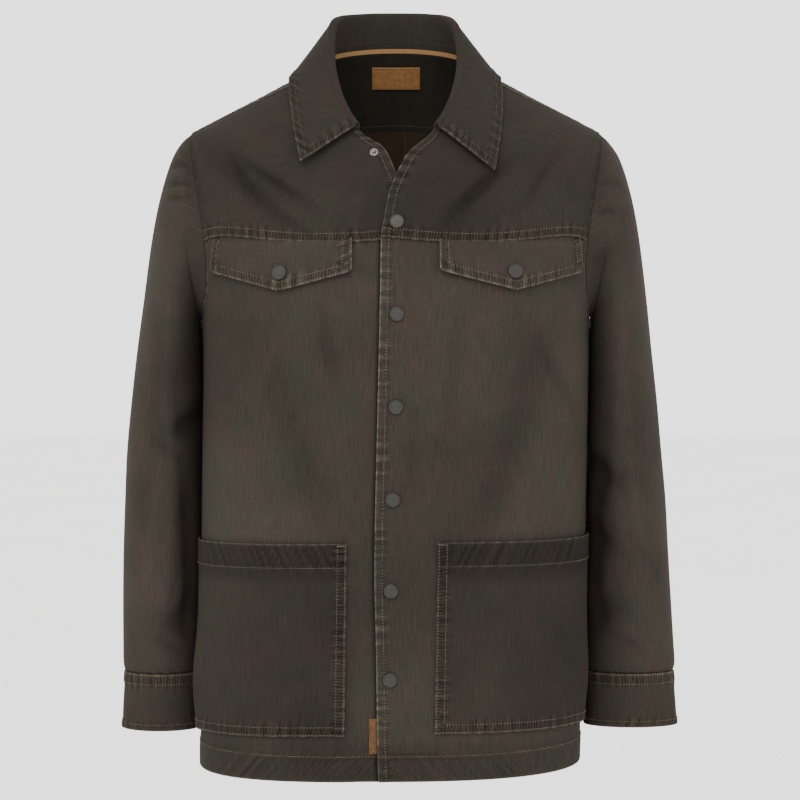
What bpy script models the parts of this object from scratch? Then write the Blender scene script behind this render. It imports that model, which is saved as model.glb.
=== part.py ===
"""A barn jacket in brushed cotton cloth, filled out as on a figure and hollow, as bpy solids.

Frame: metres, +Z up. The origin is in the neck, level with the tops of the shoulders, where a
wearer carries the jacket. The front faces -Y and the wearer's left is +X. The jacket closes left
over right, so the left front is the outer one.

Every panel is cut from one form: rings from the hem to the neck, whose sizes are in FORM. A point
of the form is named by its angle round the body (0 at the front, 90 at the wearer's left side) and
its level, which counts the rings. Panels are grids between two edges on that form, made into walls,
and pockets, flaps, snaps and labels are made from the same points, moved out.
"""

import math
from collections import namedtuple

import bmesh
import bpy
import numpy as np

WALL = 0.0016
SEAM_GAP = 0.0003
UNDERLAP_DROP = 0.0026
LAID_ON = 0.0008

# The body's rings. Heights are at the front, the sides and the back of each ring. `corner` is the
# exponent of its rounded outline, `fall` shapes the ring's slope from side to front, `drift` moves
# the ring to the wearer's left, and `tilt` lifts its left side.
Ring = namedtuple(
    "Ring", "z_front z_side z_back half_width front back corner fall drift tilt")
FORM = {
    "hem": Ring(-0.7490, -0.7450, -0.7470, 0.2030, 0.1270, 0.1310, 2.8, 1.4, -0.0065, 0.0028),
    "pocket": Ring(-0.6000, -0.6000, -0.6000, 0.2050, 0.1285, 0.1320, 2.5, 2.0, -0.0040, 0.0010),
    "waist": Ring(-0.4500, -0.4500, -0.4500, 0.2055, 0.1280, 0.1300, 2.5, 2.0, -0.0020, 0.0000),
    "chest": Ring(-0.3300, -0.3300, -0.3300, 0.2055, 0.1270, 0.1310, 2.5, 2.0, 0.0000, 0.0000),
    "underarm": Ring(-0.2830, -0.2700, -0.2820, 0.2065, 0.1255, 0.1320, 2.5, 2.0, 0.0000, 0.0000),
    "lower_armhole": Ring(-0.2400, -0.1900, -0.2250, 0.2125, 0.1220, 0.1310, 2.6, 2.0, 0.0000, 0.0000),
    "upper_armhole": Ring(-0.2050, -0.1300, -0.1750, 0.2170, 0.1165, 0.1260, 2.6, 2.0, 0.0000, 0.0000),
    "shoulder": Ring(-0.1740, -0.0765, -0.1250, 0.2170, 0.1090, 0.1160, 2.5, 2.0, 0.0000, 0.0000),
    "outer_slope": Ring(-0.1560, -0.0580, -0.0800, 0.1820, 0.1045, 0.1070, 2.4, 1.9, 0.0000, 0.0000),
    "slope": Ring(-0.1380, -0.0390, -0.0400, 0.1455, 0.0990, 0.0970, 2.2, 1.7, 0.0000, 0.0000),
    "inner_slope": Ring(-0.1130, -0.0195, -0.0100, 0.1100, 0.0920, 0.0850, 2.1, 1.5, 0.0000, 0.0000),
    "neck": Ring(-0.0905, 0.0000, 0.0130, 0.0740, 0.0830, 0.0720, 2.0, 1.15, 0.0000, 0.0000),
}
LEVELS = {name: index for index, name in enumerate(FORM)}
FORM_TABLE = np.array(list(FORM.values()))
SHOULDER_LEVEL = LEVELS["shoulder"]
NECK_LEVEL = LEVELS["neck"]

# The armhole from the underarm to the shoulder seam: heights and how far the edge stands forward
# and back of the side. The yoke seams end on the rows marked.
ARMHOLE_FRONT = (  # height, forward
    (-0.2700, 0.0000), (-0.2655, -0.0260), (-0.2545, -0.0440), (-0.2380, -0.0550),
    (-0.2150, -0.0600), (-0.1900, -0.0600), (-0.1620, -0.0560), (-0.1350, -0.0480),
    (-0.1070, -0.0340), (-0.0782, -0.0140))
ARMHOLE_BACK = (  # height, behind
    (-0.2655, 0.0280), (-0.2530, 0.0500), (-0.2330, 0.0650), (-0.2060, 0.0740),
    (-0.1760, 0.0760), (-0.1470, 0.0720), (-0.1200, 0.0610), (-0.0970, 0.0420),
    (-0.0782, 0.0160))
FRONT_YOKE_ROW = 5
BACK_YOKE_ROW = 6
SHOULDER_SEAM_FORWARD = -0.0140

FRONT_YOKE_HEIGHT = -0.1865
BACK_YOKE_HEIGHT = -0.0720
SIDE_HEIGHTS = (-0.7000, -0.6500, -0.6000, -0.5500, -0.5020, -0.4500, -0.4000, -0.3500, -0.3050)

# The outer front's edge, from the hem to the collar, as (across, height). The inner front's edge is
# the same above the V and runs on the other side of the middle below it.
OVER_EDGE = (
    (-0.0181, -0.7490), (-0.0190, -0.7255), (-0.0207, -0.6013), (-0.0223, -0.5397),
    (-0.0216, -0.4781), (-0.0190, -0.3700), (-0.0168, -0.2707), (-0.0154, -0.1865),
    (-0.0092, -0.1485), (-0.0062, -0.1370), (0.0000, -0.1220), (0.0062, -0.1095),
    (0.0125, -0.0990), (0.0190, -0.0925), (0.0280, -0.0865), (0.0400, -0.0770))
UNDER_EDGE = (
    (0.0155, -0.7490), (0.0160, -0.7255), (0.0165, -0.6013), (0.0168, -0.5397),
    (0.0168, -0.4781), (0.0168, -0.3700), (0.0168, -0.2707), (0.0160, -0.1865),
    (0.0105, -0.1485), (0.0062, -0.1340), (0.0000, -0.1180), (-0.0060, -0.1040),
    (-0.0115, -0.0945), (-0.0180, -0.0890), (-0.0270, -0.0850), (-0.0370, -0.0780))
YOKE_EDGE_HEIGHTS = (-0.1865, -0.1700, -0.1540, -0.1390, -0.1250, -0.1120, -0.1000, -0.0905)
COLUMNS = 14
BACK_EASE = 1.7

# Large soft folds of the body: where, how they lean in degrees, and how deep they press in. `face`
# is -1 on the front and 1 on the back.
Fold = namedtuple("Fold", "across height lean half_length half_width depth face")
FOLDS = (
    Fold(-0.1450, -0.1400, -40.0, 0.0600, 0.0100, 0.0022, -1),
    Fold(0.0780, -0.1450, 48.0, 0.0500, 0.0100, 0.0018, -1),
    Fold(-0.1000, -0.4000, -70.0, 0.1000, 0.0220, 0.0020, -1),
    Fold(0.1200, -0.3900, 72.0, 0.1100, 0.0200, 0.0022, -1),
    Fold(-0.1300, -0.2100, -52.0, 0.0700, 0.0140, 0.0030, 1),
    Fold(0.1250, -0.2200, 50.0, 0.0800, 0.0140, 0.0030, 1),
    Fold(0.0400, -0.4600, 84.0, 0.1300, 0.0240, 0.0025, 1),
    Fold(-0.0900, -0.5200, -80.0, 0.1100, 0.0220, 0.0022, 1),
)
FOLD_FADE = 0.05  # folds fade out this near the sides

# Sleeves below the shoulder: each ring's outer and inner ends, then its depth. "left" and "right"
# are the wearer's, and the two differ a little, as they hang in the photograph.
SleeveRing = namedtuple("SleeveRing", "outer inner z_outer z_inner middle half_depth")
LEFT_SLEEVE = (
    SleeveRing(0.2280, 0.2086, -0.0860, -0.2735, 0.0080, 0.0660),
    SleeveRing(0.2400, 0.2086, -0.1050, -0.2770, 0.0100, 0.0670),
    SleeveRing(0.2520, 0.2080, -0.1430, -0.2830, 0.0130, 0.0675),
    SleeveRing(0.2610, 0.2072, -0.1900, -0.2930, 0.0160, 0.0675),
    SleeveRing(0.2693, 0.2064, -0.2540, -0.3090, 0.0200, 0.0670),
    SleeveRing(0.2752, 0.2058, -0.3080, -0.3350, 0.0230, 0.0660),
    SleeveRing(0.2813, 0.2054, -0.3610, -0.3720, 0.0250, 0.0650),
    SleeveRing(0.2863, 0.2050, -0.4150, -0.4190, 0.0260, 0.0640),
    SleeveRing(0.2913, 0.2046, -0.4680, -0.4700, 0.0260, 0.0610),
    SleeveRing(0.2942, 0.2043, -0.5215, -0.5230, 0.0240, 0.0550),
    SleeveRing(0.2973, 0.2040, -0.5750, -0.5760, 0.0210, 0.0480),
    SleeveRing(0.3000, 0.2040, -0.6200, -0.6200, 0.0180, 0.0410),
    SleeveRing(0.3013, 0.2042, -0.6430, -0.6430, 0.0160, 0.0365),
    SleeveRing(0.2993, 0.2044, -0.6525, -0.6525, 0.0160, 0.0330),
)
RIGHT_SLEEVE = (
    SleeveRing(0.2290, 0.2086, -0.0860, -0.2735, 0.0080, 0.0660),
    SleeveRing(0.2400, 0.2086, -0.1050, -0.2770, 0.0100, 0.0670),
    SleeveRing(0.2520, 0.2080, -0.1430, -0.2830, 0.0130, 0.0675),
    SleeveRing(0.2617, 0.2074, -0.1900, -0.2930, 0.0160, 0.0675),
    SleeveRing(0.2709, 0.2068, -0.2540, -0.3090, 0.0200, 0.0670),
    SleeveRing(0.2786, 0.2064, -0.3080, -0.3350, 0.0230, 0.0660),
    SleeveRing(0.2850, 0.2064, -0.3610, -0.3720, 0.0250, 0.0650),
    SleeveRing(0.2903, 0.2068, -0.4150, -0.4190, 0.0260, 0.0640),
    SleeveRing(0.2928, 0.2074, -0.4680, -0.4700, 0.0260, 0.0620),
    SleeveRing(0.2946, 0.2082, -0.5215, -0.5230, 0.0240, 0.0580),
    SleeveRing(0.2952, 0.2092, -0.5750, -0.5760, 0.0210, 0.0520),
    SleeveRing(0.2950, 0.2104, -0.6200, -0.6200, 0.0180, 0.0450),
    SleeveRing(0.2946, 0.2112, -0.6430, -0.6430, 0.0160, 0.0405),
    SleeveRing(0.2928, 0.2116, -0.6525, -0.6525, 0.0160, 0.0375),
)
CuffRing = namedtuple("CuffRing", "outer inner z middle half_depth")
LEFT_CUFF = (
    CuffRing(0.2994, 0.2044, -0.6528, 0.0160, 0.0335),
    CuffRing(0.3012, 0.2042, -0.6720, 0.0160, 0.0325),
    CuffRing(0.3028, 0.2040, -0.6920, 0.0160, 0.0315),
    CuffRing(0.3040, 0.2038, -0.7110, 0.0160, 0.0305),
)
RIGHT_CUFF = (
    CuffRing(0.2932, 0.2118, -0.6528, 0.0160, 0.0380),
    CuffRing(0.2942, 0.2118, -0.6730, 0.0160, 0.0378),
    CuffRing(0.2954, 0.2118, -0.6940, 0.0160, 0.0376),
    CuffRing(0.2962, 0.2118, -0.7140, 0.0160, 0.0374),
)
CUFF_WALL = 0.0024

CREASE_RIDGE = 0.45  # the ridge above a crease, as a share of its depth
# Creases of the sleeves: height, turn round the sleeve in degrees (0 outside, 90 front, 180 at the
# body), slope along the turn, half length in degrees, half width and depth.
Crease = namedtuple("Crease", "height turn slope half_turn half_width depth")
LEFT_CREASES = (
    Crease(-0.4350, 138.0, 0.00030, 34.0, 0.0140, 0.0042),
    Crease(-0.5050, 142.0, 0.00030, 30.0, 0.0130, 0.0034),
    Crease(-0.5900, 135.0, -0.00020, 30.0, 0.0160, 0.0026),
    Crease(-0.4300, 235.0, -0.00030, 34.0, 0.0150, 0.0034),
    Crease(-0.3600, 215.0, -0.00020, 30.0, 0.0160, 0.0028),
)
RIGHT_CREASES = (
    Crease(-0.3850, 132.0, 0.00025, 34.0, 0.0140, 0.0044),
    Crease(-0.5950, 120.0, 0.00030, 30.0, 0.0170, 0.0028),
    Crease(-0.4400, 228.0, -0.00030, 34.0, 0.0150, 0.0036),
    Crease(-0.5200, 215.0, 0.00020, 30.0, 0.0160, 0.0026),
)

# The collar's sections round the neck, on the wearer's left: the angle of its seam, the crest where
# it rolls over, and the free edge of the fall.
Station = namedtuple("Station", "angle crest_x crest_y crest_z edge_x edge_y edge_z")
COLLAR = (
    Station(180.0, 0.0000, 0.0760, 0.0535, 0.0000, 0.0960, -0.0100),
    Station(163.0, 0.0240, 0.0745, 0.0532, 0.0330, 0.0930, -0.0110),
    Station(146.0, 0.0430, 0.0650, 0.0515, 0.0660, 0.0830, -0.0130),
    Station(128.0, 0.0590, 0.0470, 0.0485, 0.0940, 0.0610, -0.0150),
    Station(110.0, 0.0660, 0.0240, 0.0430, 0.1090, 0.0330, -0.0170),
    Station(95.0, 0.0685, 0.0070, 0.0320, 0.1130, 0.0060, -0.0170),
    Station(82.0, 0.0690, -0.0110, 0.0150, 0.1128, -0.0150, -0.0240),
    Station(71.0, 0.0680, -0.0260, -0.0040, 0.1115, -0.0340, -0.0400),
    Station(61.0, 0.0645, -0.0390, -0.0210, 0.1090, -0.0520, -0.0580),
    Station(51.0, 0.0580, -0.0520, -0.0410, 0.1060, -0.0680, -0.0760),
    Station(41.0, 0.0490, -0.0640, -0.0590, 0.1020, -0.0810, -0.0940),
    Station(32.7, 0.0400, -0.0735, -0.0715, 0.0985, -0.0930, -0.1090),
)
COLLAR_WALL = 0.0020
COLLAR_ROLL = 0.0038
COLLAR_CLEARANCE = 0.0020
COLLAR_BELLY = 0.0010
COLLAR_LEFT_WIDER = 0.0035  # the left fall is this much wider at its point
COLLAR_LEFT_LOWER = 0.0090  # and this much lower
COLLAR_LEFT_CREST = 0.0060  # and its crest stands this much nearer the neck beside the shoulder
COLLAR_LEFT_FRONT = 0.0020  # but farther out toward the front end
COLLAR_LEFT_EDGE = 0.0045  # and its free edge lies this much nearer the neck on the shoulder
COLLAR_STAND_STEPS = 3
COLLAR_ROLL_STEPS = 4
COLLAR_FALL_STEPS = 5

TAPE_HEIGHT = 0.0048
TAPE_RISE = 0.0012
TAPE_GAP = 0.0004
TAPE_WALL = 0.0009
TAPE_FROM, TAPE_TO = 70.0, 290.0
LABEL_TOP, LABEL_BOTTOM = 0.0005, -0.0230
LABEL_HALF_WIDTH = 0.0267
LABEL_WALL = 0.0012
TAB_LEFT, TAB_RIGHT = -0.0277, -0.0196
TAB_TOP, TAB_BOTTOM = -0.6830, -0.7200
TAB_WALL = 0.0012

# Chest flaps: side edges, the point, and heights of the ends and the point.
Flap = namedtuple("Flap", "inner outer point z_inner z_outer z_point")
LEFT_FLAP = Flap(0.0450, 0.1915, 0.1230, -0.2215, -0.2225, -0.2410)
RIGHT_FLAP = Flap(-0.0450, -0.1895, -0.1200, -0.2225, -0.2225, -0.2420)
FLAP_TOP = -0.1890
FLAP_LIFT = 0.0022
FLAP_WALL = 0.0018

# Lower pockets: the inner edge's place at the top and bottom, heights, and how far they swell.
Pocket = namedtuple(
    "Pocket", "inner_top inner_bottom z_top z_bottom z_side_top z_side_bottom swell")
LEFT_POCKET = Pocket(0.0430, 0.0400, -0.5000, -0.6985, -0.5010, -0.6990, 0.0050)
RIGHT_POCKET = Pocket(-0.0500, -0.0530, -0.5015, -0.7010, -0.5065, -0.7080, 0.0070)
POCKET_SIDE_ANGLE = 88.6
POCKET_BELLY = 0.0022
POCKET_COLUMNS, POCKET_ROWS = 15, 9
POCKET_WALL = 0.0015

SNAP_RADIUS = 0.0075
SNAP_HEIGHT = 0.0024
SNAPS = (  # across, height: down the front, top to bottom
    (0.0010, -0.1706), (0.0010, -0.2655), (0.0000, -0.3608),
    (-0.0031, -0.4561), (-0.0051, -0.5504), (-0.0062, -0.6426))
FLAP_SNAPS = {"left": (0.1215, -0.2217), "right": (-0.1187, -0.2232)}
STUD = (-0.0226, -0.0990)
STUD_RADIUS = 0.0050

# Principled settings: colour (linear), roughness, metallic.
MATERIALS = {
    "brushed_cotton": ((0.058, 0.047, 0.038), 0.92, 0.0),
    "tan_leather": ((0.240, 0.110, 0.035), 0.60, 0.0),
    "tan_tape": ((0.250, 0.125, 0.050), 0.85, 0.0),
    "olive_snap": ((0.085, 0.083, 0.070), 0.45, 0.6),
    "steel_stud": ((0.550, 0.550, 0.560), 0.30, 1.0),
}


# ---------------------------------------------------------------- the form

def ring_sizes(level):
    """The ring's sizes at these levels, along a smooth curve that turns sharply at the shoulder."""
    level = np.asarray(level, float)
    start = np.clip(np.floor(level).astype(int), 0, NECK_LEVEL - 1)
    part = (level - start)[:, None]
    before = np.where(start == SHOULDER_LEVEL, start, np.maximum(start - 1, 0))
    after = np.where(start == SHOULDER_LEVEL - 1, start + 1, np.minimum(start + 2, NECK_LEVEL))
    first, last = FORM_TABLE[start], FORM_TABLE[start + 1]
    leave = (last - FORM_TABLE[before]) / np.maximum(start + 1 - before, 1)[:, None]
    arrive = (FORM_TABLE[after] - first) / np.maximum(after - start, 1)[:, None]
    square, cube = part**2, part**3
    return ((2 * cube - 3 * square + 1) * first + (cube - 2 * square + part) * leave
            + (3 * square - 2 * cube) * last + (cube - square) * arrive)


def signed_power(value, power):
    return np.sign(value) * np.abs(value) ** power


def fold_depth(points):
    """How far the large folds press each point in, along Y."""
    total = np.zeros(len(points))
    for fold in FOLDS:
        along_x, along_z = math.cos(math.radians(fold.lean)), math.sin(math.radians(fold.lean))
        dx, dz = points[:, 0] - fold.across, points[:, 2] - fold.height
        along = (dx * along_x + dz * along_z) / fold.half_length
        aside = (dz * along_x - dx * along_z) / fold.half_width
        facing = np.clip(points[:, 1] * fold.face / FOLD_FADE, 0.0, 1.0)
        total -= fold.face * fold.depth * facing * np.exp(-along**2 - aside**2)
    return total


def form(angle, level):
    """Points on the outer face of the cloth, for angles in degrees and ring levels."""
    angle, level = np.broadcast_arrays(np.atleast_1d(angle).astype(float),
                                       np.atleast_1d(level).astype(float))
    sizes = ring_sizes(level)
    ring = Ring(*sizes.T)
    side, ahead = np.sin(np.radians(angle)), np.cos(np.radians(angle))
    depth = np.where(ahead > 0, ring.front, ring.back)
    z_end = np.where(ahead > 0, ring.z_front, ring.z_back)
    x = ring.half_width * signed_power(side, 2 / ring.corner) + ring.drift
    y = -depth * signed_power(ahead, 2 / ring.corner)
    z = ring.z_side + (z_end - ring.z_side) * np.abs(ahead) ** ring.fall + ring.tilt * side
    points = np.stack([x, y, z], axis=1)
    points[:, 1] += fold_depth(points)
    return points


def form_normals(angle, level):
    step = 0.02
    low, high = np.maximum(level - step, 0), np.minimum(level + step, NECK_LEVEL)
    up = form(angle, high) - form(angle, low)
    around = form(angle + 0.2, level) - form(angle - 0.2, level)
    normals = np.cross(around, up)
    return normals / np.linalg.norm(normals, axis=1, keepdims=True)


def locate(axis, across, height, angle, level):
    """The (angle, level) near a first guess where the form has this height and this x or y."""
    for _ in range(40):
        tried = form([angle, angle + 0.01, angle], [level, level, level + 0.001])[:, [axis, 2]]
        miss = np.array([across, height]) - tried[0]
        slopes = np.stack([(tried[1] - tried[0]) / 0.01, (tried[2] - tried[0]) / 0.001], axis=1)
        move = np.linalg.solve(slopes, miss)
        angle += float(np.clip(move[0], -8, 8))
        level += float(np.clip(move[1], -0.8, 0.8))
        level = min(max(level, 0.0), NECK_LEVEL - 0.002)
        if abs(miss).max() < 1e-7:
            break
    return angle, level


def level_at(angle, height):
    """The level where the line up the body at this angle passes this height."""
    low, high = 0.0, float(NECK_LEVEL)
    for _ in range(40):
        middle = (low + high) / 2
        if form(angle, middle)[0, 2] < height:
            low = middle
        else:
            high = middle
    return middle


def angle_at(across, level, angle, axis=1):
    """The angle near a first guess where the ring at this level has this x or y."""
    for _ in range(40):
        here, there = form([angle, angle + 0.01], [level, level])[:, axis]
        angle += float(np.clip((across - here) * 0.01 / (there - here), -5, 5))
    return angle


def spread(left, right, count, ease=1.0):
    """(angle, level) pairs evenly spaced over the cloth between two of them.

    An ease above 1 keeps the row level near its left end.
    """
    share = np.linspace(0, 1, 240)
    pairs = np.outer(1 - share, left) + np.outer(share, right)
    pairs[:, 1] = left[1] + (right[1] - left[1]) * share**ease
    points = form(pairs[:, 0], pairs[:, 1])
    run = np.concatenate([[0], np.cumsum(np.linalg.norm(np.diff(points, axis=0), axis=1))])
    wanted = np.linspace(0, run[-1], count)
    return np.stack([np.interp(wanted, run, pairs[:, 0]), np.interp(wanted, run, pairs[:, 1])], 1)


def mirrored(pairs):
    return [(-angle, level) for angle, level in pairs]


# ---------------------------------------------------------------- edges of the panels

def armhole_front():
    pairs = [(90.0, float(LEVELS["underarm"]))]
    for height, forward in ARMHOLE_FRONT[1:-1]:
        pairs.append(locate(1, forward, height, 70.0, pairs[-1][1] + 0.2))
    pairs.append((angle_at(SHOULDER_SEAM_FORWARD, SHOULDER_LEVEL, 84.0), float(SHOULDER_LEVEL)))
    return pairs


def armhole_back():
    pairs = []
    level = float(LEVELS["underarm"])
    for height, behind in ARMHOLE_BACK[:-1]:
        angle, level = locate(1, behind, height, 110.0, level + 0.2)
        pairs.append((angle, level))
    pairs.append((angle_at(ARMHOLE_BACK[-1][1], SHOULDER_LEVEL, 96.0), float(SHOULDER_LEVEL)))
    return pairs


def shoulder_seam():
    """From the armhole to the neck, just ahead of the shoulder's crest."""
    levels = np.linspace(SHOULDER_LEVEL, NECK_LEVEL, 5)[1:]
    return [(angle_at(SHOULDER_SEAM_FORWARD, level, 82.0), float(level)) for level in levels]


def on_edge(edge, height):
    heights = [row[1] for row in edge]
    return float(np.interp(height, heights, [row[0] for row in edge]))


def front_edge(edge, heights):
    """(angle, level) pairs down a front's free edge."""
    pairs = []
    level = level_at(0.0, heights[0])
    for height in heights:
        across = on_edge(edge, height)
        angle, level = locate(0, across, height, across * 150.0, level + 0.1)
        pairs.append((angle, level))
    return pairs


def neck_end(edge):
    return angle_at(edge[-1][0], NECK_LEVEL, math.copysign(33.0, edge[-1][0]), axis=0)


# ---------------------------------------------------------------- walls and solids

def material(name):
    made = bpy.data.materials.get(name)
    if made is None:
        colour, roughness, metallic = MATERIALS[name]
        made = bpy.data.materials.new(name)
        made.use_nodes = True
        shader = made.node_tree.nodes["Principled BSDF"]
        shader.inputs["Base Color"].default_value = (*colour, 1.0)
        shader.inputs["Roughness"].default_value = roughness
        shader.inputs["Metallic"].default_value = metallic
        made.diffuse_color = (*colour, 1.0)
    return made


def add_solid(name, points, faces, finish):
    """One object from points and faces, shaded smooth and facing out."""
    mesh = bpy.data.meshes.new(name)
    mesh.from_pydata([tuple(point) for point in points], [], faces)
    shape = bmesh.new()
    shape.from_mesh(mesh)
    bmesh.ops.triangulate(shape, faces=shape.faces[:])
    if shape.calc_volume(signed=True) < 0:
        bmesh.ops.reverse_faces(shape, faces=shape.faces[:])
    shape.to_mesh(mesh)
    shape.free()
    mesh.shade_smooth()
    mesh.set_sharp_from_angle(angle=math.radians(50))
    mesh.materials.append(material(finish))
    made = bpy.data.objects.new(name, mesh)
    bpy.context.scene.collection.objects.link(made)
    return made


def wall(name, outer, inner, finish, tube=False):
    """A closed wall between two grids of points. A tube's last column joins its first."""
    rows, columns = outer.shape[:2]
    points = np.concatenate([outer.reshape(-1, 3), inner.reshape(-1, 3)])
    inside = rows * columns
    last = columns if tube else columns - 1
    faces = []
    for row in range(rows - 1):
        for column in range(last):
            after = (column + 1) % columns
            corner = [row * columns + column, row * columns + after,
                      (row + 1) * columns + after, (row + 1) * columns + column]
            faces.append(corner)
            faces.append([inside + index for index in reversed(corner)])
    rims = [[row * columns + column for column in range(columns)] for row in (0, rows - 1)]
    runs = [(rims[0], 1), (rims[1], -1)]
    if not tube:
        runs.append(([row * columns for row in range(rows)], -1))
        runs.append(([row * columns + columns - 1 for row in range(rows)], 1))
    for rim, turn in runs:
        ends = list(zip(rim, rim[1:]))
        if tube:
            ends.append((rim[-1], rim[0]))
        for first, second in ends:
            face = [second, first, inside + first, inside + second]
            faces.append(face if turn == 1 else face[::-1])
    return add_solid(name, points, faces, finish)


def pulled_in(grid, gap=SEAM_GAP / 2, sides="tblr"):
    """The grid with its edges drawn back along the cloth, for the gap at a seam."""
    made = grid.copy()
    edges = {"b": (made[0], made[1]), "t": (made[-1], made[-2]),
             "l": (made[:, 0], made[:, 1]), "r": (made[:, -1], made[:, -2])}
    for side in sides:
        edge, beside = edges[side]
        toward = beside - edge
        edge += toward / np.linalg.norm(toward, axis=1, keepdims=True) * gap
    return made


def cloth_grid(rows, count, ease=1.0):
    """Points and normals of a grid whose rows run between pairs."""
    pairs = np.array([spread(left, right, count, ease) for left, right in rows])
    flat = pairs.reshape(-1, 2)
    points = form(flat[:, 0], flat[:, 1]).reshape(*pairs.shape[:2], 3)
    normals = form_normals(flat[:, 0], flat[:, 1]).reshape(points.shape)
    return points, normals


def smooth_step(value):
    value = np.clip(value, 0.0, 1.0)
    return value * value * (3 - 2 * value)


def underlap(points):
    """How far the inner front drops inside the outer one, near the middle and below the V."""
    near = smooth_step((points[..., 0] + 0.062) / 0.030)
    below = smooth_step((-0.102 - points[..., 2]) / 0.012)
    return UNDERLAP_DROP * near * below


def panel(name, rows, drop=None, ease=1.0):
    points, normals = cloth_grid(rows, COLUMNS, ease)
    if drop is not None:
        points = points - normals * drop(points)[..., None]
    points = pulled_in(points)
    return wall(name, points, points - normals * WALL, "brushed_cotton")


# ---------------------------------------------------------------- fronts, backs and yokes

def front_panels():
    arm = armhole_front()
    side = [(90.0, 0.0)] + [(90.0, level_at(90.0, height)) for height in SIDE_HEIGHTS] + arm
    lower_side = side[:len(SIDE_HEIGHTS) + 1 + FRONT_YOKE_ROW + 1]
    upper_side = arm[FRONT_YOKE_ROW:] + shoulder_seam()
    climb = np.linspace(SIDE_HEIGHTS[-1], FRONT_YOKE_HEIGHT, FRONT_YOKE_ROW + 2)[1:]
    heights = [-0.7489] + list(SIDE_HEIGHTS) + list(climb)
    for side_name, edge, turn, drop in (("left", OVER_EDGE, 1, None),
                                        ("right", UNDER_EDGE, -1, underlap)):
        lower = front_edge(edge, heights)
        upper = front_edge(edge, YOKE_EDGE_HEIGHTS) + [(neck_end(edge), float(NECK_LEVEL))]
        ends = lower_side if turn == 1 else mirrored(lower_side)
        panel(f"front_{side_name}", list(zip(lower, ends)), drop)
        ends = upper_side if turn == 1 else mirrored(upper_side)
        panel(f"front_yoke_{side_name}", list(zip(upper, ends)), drop)


def back_panels():
    arm = armhole_back()
    side = [(90.0, 0.0)] + [(90.0, level_at(90.0, height)) for height in SIDE_HEIGHTS]
    side += [(90.0, float(LEVELS["underarm"]))] + arm[:BACK_YOKE_ROW + 1]
    heights = (-0.7459,) + SIDE_HEIGHTS
    top = level_at(180.0, BACK_YOKE_HEIGHT)
    middle = [(180.0, level_at(180.0, height)) for height in heights]
    climb = np.linspace(middle[-1][1], top, BACK_YOKE_ROW + 3)[1:]
    middle += [(180.0, float(level)) for level in climb]
    panel("back_left", list(zip(middle, side)), ease=BACK_EASE)
    turned = [(-180.0, level) for _, level in middle]
    panel("back_right", list(zip(turned, mirrored(side))), ease=BACK_EASE)


def back_yoke():
    ends = armhole_back()[BACK_YOKE_ROW:] + [(90.0, float(SHOULDER_LEVEL)), armhole_front()[-1]]
    ends += shoulder_seam()
    levels = np.linspace(level_at(180.0, BACK_YOKE_HEIGHT), NECK_LEVEL, len(ends))
    rows = [((180.0, float(level)), end) for level, end in zip(levels, ends)]
    points, normals = cloth_grid(rows, COLUMNS, BACK_EASE)
    flip = np.array([-1.0, 1.0, 1.0])
    points = np.concatenate([points[:, ::-1], (points * flip)[:, 1:]], axis=1)
    normals = np.concatenate([normals[:, ::-1], (normals * flip)[:, 1:]], axis=1)
    points = pulled_in(points)
    wall("back_yoke", points, points - normals * WALL, "brushed_cotton")


# ---------------------------------------------------------------- sleeves and cuffs

def ring_points(outer, inner, middle, half_depth, turns):
    """A ring of a sleeve: from its outer end, round the front, to its inner end and the back."""
    outer, inner = np.array(outer), np.array(inner)
    centre, reach = (outer + inner) / 2, (outer - inner) / 2
    points = centre + np.outer(np.cos(turns), reach)
    points[:, 1] = middle - half_depth * np.sin(turns)
    return points


def tube_normals(grid):
    """Outward normals of a tube's grid of rings."""
    along = np.gradient(grid, axis=0)
    around = np.roll(grid, -1, axis=1) - np.roll(grid, 1, axis=1)
    normals = np.cross(around, along)
    centre = grid.mean(axis=1, keepdims=True)
    outward = np.sign(np.sum((grid - centre) * normals, axis=2).mean())
    return normals * outward / np.linalg.norm(normals, axis=2, keepdims=True)


def creased(grid, normals, turns, creases):
    degrees = np.degrees(turns)
    depth = np.zeros(grid.shape[:2])
    for crease in creases:
        along = (degrees - crease.turn)[None, :]
        across = (grid[..., 2] - crease.height - crease.slope * along) / crease.half_width
        fade = np.exp(-(along / crease.half_turn) ** 2)
        depth += crease.depth * fade * np.exp(-across**2)
        depth -= CREASE_RIDGE * crease.depth * fade * np.exp(-(across - 1.9) ** 2)
    return grid - normals * depth[..., None]


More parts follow.
